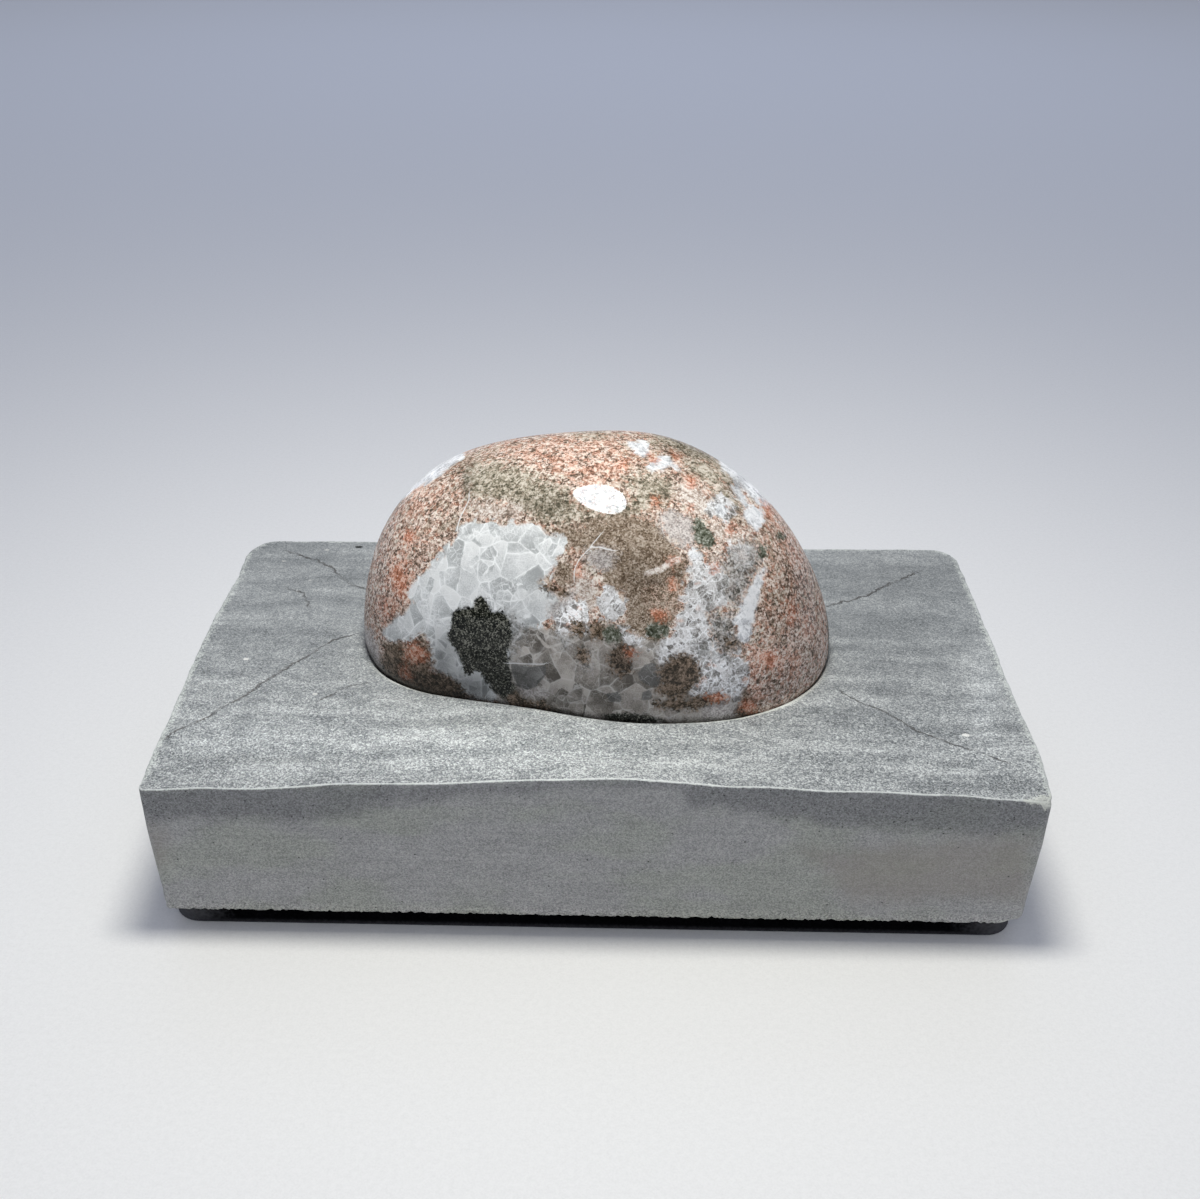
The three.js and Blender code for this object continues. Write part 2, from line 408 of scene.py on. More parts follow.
# Outlines of the rock pieces in the cobble, in the camera's frame
rocks = {
    "olive": {
        "band": [(463, 468), (476, 462), (500, 462), (520, 467), (542, 476), (560, 487), (572, 500),
                 (584, 512), (612, 513), (628, 500), (640, 505), (646, 514), (620, 522), (600, 520),
                 (575, 526), (556, 526), (536, 520), (523, 509), (508, 503), (490, 502), (474, 500),
                 (467, 492), (462, 480)],
        "under the crown": [(625, 478), (640, 470), (655, 476), (668, 480), (678, 490), (668, 500),
                            (655, 508), (640, 512), (632, 505), (636, 490)],
        "crown right": [(683, 462), (695, 458), (713, 463), (727, 472), (735, 482), (725, 484),
                        (712, 486), (700, 480), (688, 474)],
        "shoulder": [(715, 487), (727, 488), (738, 500), (742, 510), (733, 512), (724, 504), (716, 498)],
        "top rim": [(575, 432), (590, 430), (607, 433), (600, 438), (585, 437)],
        "right rim": [(650, 430), (676, 434), (704, 446), (722, 458), (736, 472), (742, 482), (730, 482),
                      (716, 468), (700, 462), (684, 455), (668, 447), (654, 442)],
    },
    "rosy": {
        "crown": [(500, 446), (560, 436), (615, 440), (628, 462), (622, 478), (600, 488), (575, 485),
                  (545, 470), (520, 458)],
        "left shoulder": [(412, 492), (432, 484), (446, 482), (440, 496), (424, 506), (408, 512)],
        "left flank": [(390, 548), (402, 550), (412, 562), (411, 594), (402, 606), (388, 604), (384, 575)],
        "left heel": [(378, 600), (388, 602), (390, 622), (380, 632)],
        "right rim": [(760, 505), (772, 512), (790, 535), (800, 556), (806, 575), (798, 580), (786, 556),
                      (770, 530)],
        "right low": [(747, 650), (758, 645), (764, 660), (762, 676), (774, 690), (760, 708), (748, 712),
                      (744, 690)],
        "right streak": [(802, 618), (812, 616), (812, 640), (804, 646)],
        "right foot": [(776, 655), (792, 650), (800, 664), (790, 680), (776, 676)],
        "brown's low side": [(646, 583), (683, 580), (684, 590), (676, 614), (664, 622), (650, 610),
                             (644, 596)],
    },
    "peach": {
        "upper right": [(683, 480), (694, 484), (706, 492), (713, 505), (710, 515), (716, 525),
                        (728, 522), (740, 530), (748, 540), (738, 544), (724, 542), (716, 536),
                        (706, 524), (698, 514), (688, 512), (680, 500), (676, 488)],
        "by the star": [(574, 572), (582, 568), (588, 580), (594, 592), (600, 604), (594, 616),
                        (586, 612), (578, 600), (572, 588)],
        "above the quartz": [(473, 503), (486, 500), (503, 504), (520, 507), (518, 516), (505, 519),
                             (490, 517), (473, 519)],
        "small lens": [(710, 552), (718, 551), (720, 561), (713, 565), (709, 560)],
    },
    "brown": {
        "middle": [(576, 531), (590, 519), (609, 519), (626, 514), (640, 517), (654, 523), (666, 533),
                   (673, 543), (680, 552), (686, 560), (685, 575), (684, 589), (680, 600), (676, 614),
                   (671, 629), (664, 639), (654, 646), (640, 640), (631, 633), (627, 626), (626, 614),
                   (629, 606), (624, 594), (614, 589), (603, 586), (600, 574), (604, 562), (590, 556),
                   (580, 552), (570, 545)],
        "left knob": [(557, 563), (566, 560), (574, 566), (575, 580), (566, 588), (556, 582)],
        "below the olive": [(548, 528), (575, 526), (590, 530), (582, 545), (566, 545), (555, 540)],
    },
    "ridge": {
        "slanted vein": [(643, 572), (653, 569), (662, 565), (668, 560), (677, 556), (683, 558), (681, 562),
                         (671, 566), (662, 572), (652, 575), (645, 577)],
    },
    "quartz": {
        "main body": [(466, 521), (475, 520), (484, 523), (494, 521), (504, 528), (511, 518), (516, 526),
                      (526, 525), (536, 524), (546, 531), (558, 536), (568, 541), (564, 553), (556, 560),
                      (552, 572), (546, 580), (541, 586), (556, 592), (560, 600), (556, 612), (548, 622),
                      (530, 640), (520, 660), (510, 690), (500, 700), (484, 699), (468, 696), (458, 686),
                      (444, 676), (432, 669), (431, 654), (428, 641), (422, 634), (411, 641), (391, 643),
                      (384, 636), (388, 623), (401, 614), (413, 603), (409, 597), (411, 586), (422, 574),
                      (438, 559), (446, 550), (455, 539), (459, 526)],
    },
    "smoky": {
        "foot": [(510, 636), (520, 630), (540, 630), (556, 626), (580, 630), (600, 620), (622, 628),
                 (640, 640), (668, 640), (690, 652), (702, 668), (698, 690), (722, 690), (742, 700),
                 (740, 722), (690, 728), (600, 724), (540, 718), (500, 712), (496, 690), (504, 676),
                 (508, 664)],
    },
    "lace": {
        "left net": [(556, 605), (566, 598), (576, 596), (586, 606), (590, 618), (588, 632), (576, 636),
                     (560, 634), (548, 626)],
        "star": [(598, 596), (604, 588), (612, 590), (620, 594), (626, 602), (624, 614), (617, 620),
                 (606, 618), (598, 612)],
        "right": [(686, 556), (692, 550), (703, 556), (712, 562), (722, 566), (726, 578), (722, 592),
                  (724, 602), (714, 604), (708, 612), (712, 632), (718, 648), (728, 656), (742, 652),
                  (748, 662), (746, 680), (738, 700), (724, 696), (704, 694), (692, 694), (698, 684),
                  (702, 672), (696, 658), (684, 652), (672, 652), (664, 656), (655, 652), (662, 642),
                  (671, 632), (677, 616), (683, 600), (686, 580)],
        "small": [(620, 634), (632, 632), (646, 638), (640, 646), (626, 646)],
        "by the lower clast": [(652, 650), (664, 644), (676, 648), (680, 654), (668, 660), (656, 660)],
        "shoulder": [(707, 500), (722, 496), (736, 500), (737, 513), (727, 522), (714, 521), (706, 511)],
        "below the shoulder": [(730, 545), (741, 541), (752, 548), (750, 562), (738, 566), (730, 558)],
    },
    "cloud": {
        "by the vein": [(726, 552), (750, 537), (764, 550), (762, 562), (752, 577), (746, 593),
                        (737, 605), (727, 602), (722, 592), (725, 577), (720, 565)],
        "right": [(707, 605), (713, 603), (720, 613), (733, 613), (737, 635), (740, 647), (727, 660),
                  (716, 652), (712, 636), (708, 618)],
        "pinkish": [(695, 643), (711, 643), (713, 657), (700, 660)],
        "beside the clast": [(506, 610), (516, 614), (524, 624), (524, 640), (516, 646), (508, 668)],
        "centre": [(579, 649), (590, 648), (594, 660), (588, 670), (578, 668)],
        "centre left": [(556, 638), (570, 636), (574, 646), (562, 649)],
    },
    "pale": {
        "pink patch": [(661, 514), (672, 510), (684, 513), (692, 519), (696, 532), (694, 544), (684, 550),
                       (670, 540), (662, 530)],
        "lens": [(587, 550), (600, 548), (614, 552), (617, 557), (609, 567), (603, 571), (594, 567),
                 (584, 560)],
        "left foot": [(358, 628), (372, 630), (380, 650), (389, 678), (376, 682), (362, 662)],
        "leaf": [(546, 619), (549, 607), (559, 599), (573, 589), (576, 594), (567, 601), (561, 607),
                 (553, 614)],
        "lilac": [(735, 550), (743, 548), (747, 557), (742, 563), (737, 560)],
        "right foot": [(701, 706), (716, 702), (736, 706), (738, 716), (704, 718)],
        "below the crystal": [(518, 688), (531, 690), (543, 687), (547, 696), (534, 700), (520, 696)],
    },
    "crystal": {
        "left of the lower clast": [(637, 672), (645, 664), (655, 663), (660, 672), (664, 685), (654, 689),
                                    (641, 681)],
        "dark crystal": [(511, 665), (530, 666), (545, 665), (546, 675), (536, 686), (525, 690),
                         (516, 685), (511, 672)],
        "foot facet": [(606, 694), (618, 691), (621, 701), (610, 703)],
        "foot facet right": [(641, 692), (650, 689), (652, 700), (642, 701)],
    },
    "rust": {
        "left foot": [(384, 644), (391, 643), (409, 643), (421, 634), (428, 643), (431, 657), (431, 670),
                      (444, 674), (459, 680), (466, 691), (461, 697), (440, 702), (411, 696), (389, 680),
                      (380, 661)],
        "knob": [(586, 626), (594, 622), (604, 622), (609, 628), (604, 640), (592, 640), (586, 634)],
        "centre": [(607, 655), (612, 647), (622, 644), (632, 648), (633, 660), (634, 672), (622, 677),
                   (610, 672)],
        "foot strip": [(649, 700), (668, 697), (684, 699), (706, 694), (722, 692), (729, 698), (712, 706),
                       (683, 711), (656, 709)],
        "right foot": [(744, 690), (752, 696), (764, 708), (752, 718), (738, 718), (736, 708)],
        "by the cloud": [(721, 640), (731, 637), (739, 648), (730, 652)],
        "lower clast": [(658, 670), (664, 664), (671, 658), (683, 653), (694, 657), (701, 669), (697, 682),
                        (690, 687), (684, 699), (668, 699), (655, 690), (662, 684)],
        "knob's shadow": [(541, 586), (552, 585), (562, 588), (568, 593), (560, 596), (548, 592)],
        "left of the knob": [(572, 618), (584, 622), (588, 634), (578, 640), (568, 632)],
        "smoky spot": [(577, 647), (586, 645), (591, 654), (589, 664), (581, 666), (577, 657)],
        "tail of the dark clast": [(500, 690), (514, 688), (524, 697), (545, 701), (556, 710), (540, 714),
                                   (512, 708)],
    },
    "dark": {
        "big clast": [(479, 596), (484, 597), (488, 606), (494, 613), (501, 611), (508, 616), (512, 628),
                      (511, 640), (508, 652), (509, 664), (512, 679), (516, 690), (504, 698), (494, 691),
                      (488, 683), (481, 674), (474, 672), (466, 676), (462, 670), (461, 659), (456, 651),
                      (452, 644), (446, 637), (451, 626), (452, 613), (461, 608), (471, 607), (474, 599)],
        # painted shadow in the gap under its foot
        "painted shadow under the foot": [(604, 714), (622, 712), (645, 714), (664, 720), (640, 726), (606, 724)],
    },
    "green": {
        "small clast": [(694, 519), (701, 518), (707, 526), (712, 534), (715, 541), (709, 548), (702, 548),
                        (696, 539), (694, 529)],
        "green spot": [(602, 630), (614, 626), (622, 634), (618, 643), (606, 643)],
        "under the rust": [(646, 626), (658, 620), (671, 622), (670, 634), (656, 640), (646, 635)],
        "by the right vein": [(757, 548), (766, 545), (768, 556), (760, 560)],
        "rim spot": [(778, 530), (786, 534), (784, 541), (777, 538)],
    },
    "white": {
        "long vein": [(765, 562), (767, 570), (762, 583), (758, 600), (755, 613), (753, 630), (750, 643),
                      (743, 645), (737, 633), (733, 618), (740, 607), (750, 590), (757, 577), (762, 567)],
        "crown": [(628, 442), (637, 441), (647, 443), (650, 451), (643, 457), (636, 453), (630, 448)],
        "crown right": [(660, 453), (668, 456), (673, 463), (665, 470), (652, 471), (646, 465), (655, 461)],
        "crown speck": [(671, 461), (677, 463), (680, 469), (673, 469)],
        "right rim": [(718, 458), (728, 452), (748, 460), (766, 480), (776, 500), (764, 508), (755, 503),
                      (748, 495), (740, 485), (731, 477), (722, 468)],
        "right drop small": [(732, 484), (738, 485), (744, 495), (749, 505), (743, 505), (736, 495)],
        "right drop": [(744, 510), (751, 506), (758, 508), (765, 513), (764, 523), (758, 530), (749, 525),
                       (742, 517)],
        "left rim": [(394, 505), (402, 480), (425, 458), (445, 446), (463, 446), (464, 458), (452, 466),
                     (440, 475), (428, 483), (418, 487), (406, 497)],
        "shoulder drop": [(715, 506), (723, 504), (728, 511), (722, 518), (715, 514)],
        "by the small clast": [(688, 547), (692, 550), (703, 553), (704, 560), (692, 560), (688, 554)],
        "glint": [(418, 599), (423, 600), (422, 604), (417, 603)],
    },
    "orange": {
        "crown spot": [(686, 478), (692, 476), (697, 481), (693, 487), (686, 486)],
        "second": [(686, 505), (692, 505), (692, 512), (686, 513)],
        "third": [(652, 497), (658, 496), (660, 504), (655, 508), (651, 504)],
        "fourth": [(727, 526), (734, 524), (736, 532), (728, 534)],
        "fifth": [(711, 565), (716, 564), (717, 572), (711, 573)],
        "crown small": [(649, 455), (656, 455), (657, 462), (650, 461)],
        "crown right small": [(672, 452), (680, 456), (680, 463), (674, 460)],
        "on the ridge": [(668, 561), (675, 558), (680, 560), (673, 565)],
        "rim": [(762, 500), (769, 505), (772, 516), (766, 514)],
        "crown left": [(619, 462), (626, 462), (627, 469), (620, 469)],
        "by the knob": [(575, 566), (581, 566), (582, 576), (577, 577)],
        "in the brown": [(653, 613), (662, 610), (669, 613), (666, 621), (655, 621)],
        "under the vein": [(669, 578), (674, 577), (676, 590), (671, 590)],
        "rust glow": [(626, 650), (634, 649), (639, 654), (632, 658), (627, 656)],
        "left flank": [(394, 562), (400, 560), (407, 574), (406, 594), (399, 598), (392, 582)],
        "left flank high": [(403, 533), (411, 529), (415, 540), (408, 547), (403, 543)],
        "left flank low": [(382, 601), (388, 600), (390, 613), (385, 618)],
        "right flank": [(787, 602), (793, 600), (796, 619), (791, 627), (786, 615)],
        "right flank low": [(762, 656), (773, 650), (781, 660), (772, 667), (762, 666)],
        "right foot": [(742, 700), (752, 701), (758, 708), (748, 713), (741, 708)],
        "foot strip": [(706, 696), (722, 694), (727, 697), (714, 702)],
        "left foot": [(405, 648), (417, 642), (424, 650), (427, 660), (414, 664), (406, 658)],
        "left foot low": [(400, 668), (408, 666), (410, 678), (404, 680)],
    },
}

# Rock pieces on the far side: azimuth, elevation, then half width and half height
farPieces = {
    "olive": {"back crown": (95, 55, 20, 11), "back right": (40, 25, 12, 14)},
    "rosy": {"back left": (150, 40, 14, 10), "back right": (20, 40, 12, 10)},
    "peach": {"back": (75, 62, 9, 6), "low": (48, 8, 8, 7)},
    "brown": {"behind": (85, 20, 15, 12)},
    "quartz": {"back left": (128, 18, 17, 15), "back low": (62, 4, 12, 9), "end": (12, 20, 9, 8)},
    "smoky": {"back left low": (140, -2, 14, 8)},
    "lace": {"back shoulder": (60, 42, 12, 8), "left end": (172, 8, 9, 12)},
    "cloud": {"back": (66, 30, 8, 6), "left": (120, 34, 9, 5)},
    "pale": {"back patch": (110, 40, 8, 6)},
    "crystal": {"back": (132, 14, 3, 4)},
    "rust": {"back foot": (100, 0, 12, 6), "right end": (-8, 4, 6, 8)},
    "dark": {"back clast": (117, 10, 8, 10), "right back": (30, 8, 7, 9)},
    "green": {"back spot": (98, 36, 4, 5), "left spot": (165, 22, 3, 4)},
    "white": {"back vein": (72, 28, 3, 15), "left vein": (155, 32, 3, 12)},
    "orange": {"back spot": (90, 48, 3, 2), "low spot": (104, 4, 3, 2)},
}

# Fine light lines in the cobble: width in millimetres, then where each runs
hairlines = {
    "hair vein": (0.17, (469, 494), (469, 500), (465, 508), (460, 518), (457, 530)),
    "long vein": (0.13, (601, 534), (590, 547), (579, 560), (574, 570), (574, 580)),
    "straight crack": (0.14, (508, 663), (527, 664), (545, 664)),
    "lens rim": (0.18, (588, 549), (600, 547), (614, 551)),
    "from the glint": (0.13, (424, 600), (441, 595), (452, 594), (462, 596), (473, 601)),
    "left curve": (0.13, (427, 604), (429, 620), (425, 631), (415, 637)),
}

# Where it meets the slab, and the painted shade above that line: its height in millimetres, how dark
seatLine = [(366, 650), (377, 668), (390, 679), (409, 688), (436, 695), (464, 699), (507, 706), (551, 713),
            (590, 719), (633, 723), (677, 724), (720, 722), (748, 717)]
paintedSeatShade = (2.0, 0.8)

# Darker and lighter areas: x, y, reach in x and y, factor. Most are the rocks' own tone; the darkening
# towards its foot and under the ridge is painted shade.
cobbleShades = {
    # painted shade towards its foot, where it meets the slab
    "left foot": (420, 690, 70, 22, 0.42),
    "left strip": (444, 655, 16, 24, 0.52),
    "quartz foot": (474, 688, 18, 12, 0.48),
    "dark clast": (488, 645, 30, 36, 0.88),
    "granite left": (420, 530, 30, 30, 1.12),
    "granite low left": (384, 612, 14, 30, 0.82),
    "granite right": (796, 600, 34, 52, 0.74),
    "grey streak": (466, 484, 6, 17, 0.62),
    "olive low side": (548, 505, 34, 11, 0.80),
    "olive rim": (690, 450, 30, 10, 0.72),
    "inside the right rim": (734, 484, 9, 9, 0.62),
    "left rim low": (413, 490, 11, 9, 1.28),
    "left rim middle": (435, 472, 11, 8, 1.28),
    "left rim high": (457, 456, 11, 7, 1.22),
    "right rim low": (754, 488, 9, 9, 1.22),
    "right rim high": (738, 470, 9, 5, 1.22),
    "lens": (601, 560, 16, 9, 0.68),
    "brown heart": (636, 578, 18, 26, 0.72),
    # painted shadow under the ridge
    "under the ridge": (655, 582, 11, 4, 0.52),
    "under the ridge right": (675, 574, 9, 4, 0.58),
    "small clast": (704, 534, 8, 15, 1.25),
    "quartz right": (530, 602, 24, 20, 0.86),
    "quartz low left": (402, 628, 26, 18, 0.88),
    "lace left": (574, 616, 16, 14, 1.6),
    "leaf": (556, 604, 8, 9, 0.72),
    "cloud right": (738, 586, 14, 16, 0.86),
    "by the star": (587, 588, 11, 14, 0.8),
    "lace low": (712, 672, 30, 24, 1.18),
    "lace middle": (704, 590, 16, 26, 0.9),
    "shoulder": (722, 508, 14, 12, 0.9),
    "vein": (752, 606, 8, 28, 0.9),
    # painted shade towards its foot
    "granite right foot": (780, 690, 30, 14, 0.9),
    "rust centre": (620, 661, 14, 14, 0.55),
    "lower clast": (672, 676, 26, 18, 0.76),
    "lower left rust": (412, 664, 30, 20, 0.85),
    # painted shade towards its foot
    "smoky foot": (590, 700, 60, 16, 0.78),
    "smoky middle": (600, 660, 50, 18, 0.9),
    # painted shade towards its foot
    "under the dark clast": (530, 680, 16, 14, 0.75),
}


# Depth of each place inside a patch on the far side
def farDepth(places, azimuth, elevation, halfWidth, halfHeight):
    outward = towards(azimuth, elevation)
    middle = pebblePoints(outward[None])[0]
    sideways = np.cross((0, 0, 1), outward)
    sideways /= np.linalg.norm(sideways)
    upward = np.cross(outward, sideways)
    offset = places - middle
    reach = np.sqrt((offset @ sideways / halfWidth) ** 2 + (offset @ upward / halfHeight) ** 2
                    + (offset @ outward / max(halfWidth, halfHeight)) ** 2)
    return (1 - reach) * min(halfWidth, halfHeight)


def markCobble(piece):
    mesh = piece.data
    places = np.array([v.co for v in mesh.vertices]) / mm
    normals = np.array([v.normal for v in mesh.vertices])
    toEye = np.array(camera["place"]) - places
    facing = np.einsum("ij,ij->i", normals, toEye) / np.linalg.norm(toEye, axis=1)
    px, py, pixel = pictureOf(places)
    behind = unreached * (facing < 0)
    reach, size = cobble["farWander"]
    noise.seed_set(cobble["farSeed"])
    bent = places + reach * np.array([noise.noise_vector(Vector(p) / size) for p in places])
    hiding, showing = (cobble["hideRate"] * np.maximum(0, cobble["hideFrom"] + away)
                       for away in (-facing, facing))
    for rock, outlines in rocks.items():
        depth = deepest(px, py, outlines) * pixel - hiding
        for patch in farPieces.get(rock, {}).values():
            depth = np.maximum(depth, farDepth(bent, *patch) - showing)
        addLayer(mesh, rock, depth)
    widths = {name: (line[0] / pixel.mean(), *line[1:]) for name, line in hairlines.items()}
    signed, nearest = lineOffsets(px, py, widths)
    addLayer(mesh, "hairline", signed)
    addLayer(mesh, "nearHairline", nearest * pixel + behind)
    addLayer(mesh, "aboveSeat", lineOffsets(px, py, {"seat": (1, *seatLine)})[1] * pixel + behind)
    shade = shadeAt(px, py, cobbleShades)
    addLayer(mesh, "shade", 1 + (shade - 1) * np.clip(facing * 5 + 0.5, 0, 1))


grains = {
    "size": 0.46,
    "large": 0.85,
    "fineSize": 0.3,
    "gritSize": 0.24,
    "quartz": (5.0, 2.5),  # large crystals and the small ones among them
    "lace": (1.8, 0.95),
    "quartzSeam": (0.11, 0.55),  # half width of the light seams, and how far the crystals differ
    "laceSeam": (0.085, 0.75),
    "flakes": (1.4, 0.075),
    "wander": (3.0, 1.5),  # size and reach of the uneven edge of a rock piece
    "grainReach": 0.8,  # how far single grains stand over it
    "crystalReach": 1.3,
}

# Mineral colours, darkest first
minerals = {
    "granite": [(0.10, (0.08, 0.06, 0.045)), (0.22, (0.17, 0.12, 0.09)), (0.34, (0.34, 0.23, 0.18)),
                (0.46, (0.46, 0.32, 0.255)), (0.58, (0.58, 0.43, 0.355)), (0.7, (0.70, 0.57, 0.49)),
                (0.86, (0.86, 0.79, 0.72))],
    "salmon": [(0.12, (0.18, 0.095, 0.07)), (0.35, (0.52, 0.245, 0.16)), (0.6, (0.70, 0.40, 0.295)),
               (0.85, (0.84, 0.66, 0.565))],
    "peach": [(0.12, (0.24, 0.19, 0.155)), (0.35, (0.48, 0.385, 0.325)), (0.6, (0.62, 0.54, 0.485)),
              (0.85, (0.82, 0.78, 0.74))],
    "olive": [(0.10, (0.09, 0.085, 0.06)), (0.3, (0.21, 0.19, 0.14)), (0.48, (0.335, 0.30, 0.23)),
              (0.66, (0.45, 0.41, 0.335)), (0.86, (0.64, 0.59, 0.51))],
    "brown": [(0.1, (0.09, 0.062, 0.042)), (0.33, (0.185, 0.138, 0.098)), (0.5, (0.26, 0.20, 0.148)),
              (0.7, (0.36, 0.29, 0.228)), (0.9, (0.52, 0.45, 0.38))],
    "rust": [(0.15, (0.03, 0.024, 0.016)), (0.4, (0.08, 0.060, 0.040)), (0.6, (0.155, 0.112, 0.078)),
             (0.85, (0.32, 0.24, 0.18))],
    "dark": [(0.2, (0.003, 0.004, 0.003)), (0.42, (0.011, 0.013, 0.010)), (0.58, (0.032, 0.035, 0.027)),
             (0.71, (0.080, 0.083, 0.066)), (0.86, (0.26, 0.257, 0.22))],
    "green": [(0.15, (0.031, 0.034, 0.023)), (0.4, (0.086, 0.094, 0.067)), (0.62, (0.178, 0.188, 0.153)),
              (0.88, (0.42, 0.435, 0.39))],
    "cloud": [(0.12, (0.050, 0.052, 0.046)), (0.35, (0.125, 0.127, 0.118)), (0.55, (0.21, 0.21, 0.20)),
              (0.85, (0.44, 0.435, 0.42))],
    "pale": [(0.2, (0.32, 0.29, 0.28)), (0.5, (0.52, 0.485, 0.465)), (0.8, (0.72, 0.68, 0.66))],
    "quartz": [(0.1, (0.38, 0.395, 0.40)), (0.35, (0.53, 0.55, 0.555)), (0.55, (0.67, 0.69, 0.695)),
               (0.8, (0.81, 0.825, 0.825))],
    "smoky": [(0.1, (0.11, 0.097, 0.083)), (0.35, (0.235, 0.215, 0.190)), (0.55, (0.36, 0.33, 0.30)),
              (0.8, (0.52, 0.485, 0.445))],
    "lace": [(0.1, (0.15, 0.14, 0.13)), (0.3, (0.32, 0.31, 0.30)), (0.5, (0.49, 0.48, 0.475)),
             (0.75, (0.70, 0.695, 0.70))],
    "crystal": [(0.1, (0.085, 0.083, 0.078)), (0.45, (0.16, 0.156, 0.148)), (0.8, (0.30, 0.295, 0.285))],
    "white": [(0.1, (0.37, 0.385, 0.41)), (0.45, (0.63, 0.65, 0.68)), (0.8, (0.86, 0.875, 0.895))],
    "orange": [(0.15, (0.30, 0.11, 0.06)), (0.45, (0.62, 0.22, 0.12)), (0.65, (0.72, 0.34, 0.23)),
               (0.85, (0.82, 0.58, 0.47))],
}


# The edges of each rock, from the lowest to the topmost: how ragged, how soft in millimetres, and how
# fully the rock covers
rockEdges = {
    "olive": (1.5, 1.6, 0.92),
    "peach": (1.1, 1.2, 1.0),
    "brown": (0.9, 0.8, 1.0),
    "ridge": (0.15, 0.2, 0.95),
    "quartz": (1.0, 0.5, 1.0),
    "smoky": (1.0, 0.5, 1.0),
    "lace": (1.2, 0.5, 1.0),
    "cloud": (1.0, 1.4, 0.85),
    "pale": (0.8, 1.0, 0.9),
    "crystal": (0.25, 0.15, 1.0),
    "rust": (0.8, 0.8, 1.0),
    "dark": (0.4, 0.35, 1.0),
    "green": (0.45, 0.4, 1.0),
    "white": (0.55, 0.4, 0.95),
    "orange": (0.8, 1.0, 0.78),
}
rosyEdge = (1.3, 1.6)
jaggedRocks = ("quartz", "smoky", "lace", "crystal", "white")  # their edges run along whole crystals


# Interlocking crystals: each has its own tone and slopes lighter to one side; seams stand between them
def crystals(place, sizes, seam, contrast):
    large, small = sizes
    bent = place.drift(large * 0.9, large * 0.09).drift(large * 0.16, large * 0.02)

    def layer(size):
        kind = bent.cells(size)
        slope = kind.vector("SUBTRACT", (0.5, 0.5, 0.5))
        offset = bent.vector("SUBTRACT", kind.beside("Position"))
        facet = offset.vector("DOT_PRODUCT", slope, out="Value") * (0.7 / size)
        toEdge = bent.cells(size, "DISTANCE_TO_EDGE", "Distance") * size
        return kind, (kind.part(0) - 0.5) * contrast + facet, toEdge

    bigKind, bigTone, bigEdge = layer(large)
    smallTone, smallEdge = layer(small)[1:]
    mixed = place.clouds(large * 1.3, 1.0).step(0.53, 0.56)
    tone = bigTone * (1 - mixed) + smallTone * mixed
    toEdge = bigEdge.least(smallEdge + (1 - mixed) * 9)
    strength = place.clouds(large * 0.45, 2.0).step(0.38, 0.6)
    core = 1 - toEdge.step(seam * 0.5, seam * 1.4)
    glow = 1 - toEdge.step(0.0, seam * 5)
    return tone + 0.5, (core * (strength * 0.75 + 0.25)).most(glow * strength * 0.4), bigKind


# What its rocks share: grains of a few sizes, crystals with their seams, and slower changes of tone
def cobbleTextures(place):
    loose = place.drift(0.7, 0.16)
    grain = loose.cells(grains["size"])
    coarse = loose.cells(grains["large"])
    fine = loose.cells(grains["fineSize"]).part(0)
    grit = place.clouds(grains["gritSize"], 1.0, 0.8) - 0.5
    quartzTone, quartzLines = crystals(place, grains["quartz"], *grains["quartzSeam"])[:2]
    laceTone, laceLines, laceKind = crystals(place, grains["lace"], *grains["laceSeam"])
    size, width = grains["flakes"]
    flaked = place.drift(1.2, 0.3).cells(size, "DISTANCE_TO_EDGE", "Distance") * size
    size, reach = grains["wander"]
    wander = (place.clouds(size, 3.0, 0.55) - 0.5) * (2 * reach)
    stray = (grain.part(2) - 0.5) * (2 * grains["grainReach"]) + grit * 1.2
    jagged = (laceKind.part(2) - 0.5) * grains["crystalReach"] + grit * 0.5
    return SimpleNamespace(
        grit=grit,
        coarse=coarse,
        speckle=grain.part(0) * 0.56 + coarse.part(0) * 0.4 + fine * 0.4 + grit * 1.1 - 0.18,
        sand=fine * 0.62 + grain.part(1) * 0.4 + grit * 1.5 - 0.01,
        slow=place.clouds(9.0, 2.0) - 0.5,
        medium=place.clouds(2.3, 3.0, 0.6) - 0.5,
        milk=place.clouds(6.0, 4.0, 0.65) - 0.5,
        patches=place.clouds(2.6, 3.0, 0.6),
        blots=place.clouds(2.9, 2.0),
        quartzTone=quartzTone,
        quartzLines=quartzLines,
        laceTone=laceTone,
        laceLines=laceLines,
        flakes=(1 - flaked.step(0.0, width)) * place.clouds(3.0, 2.0).step(0.42, 0.58),
        grainyEdge=wander + stray,
        jaggedEdge=wander + jagged,
    )


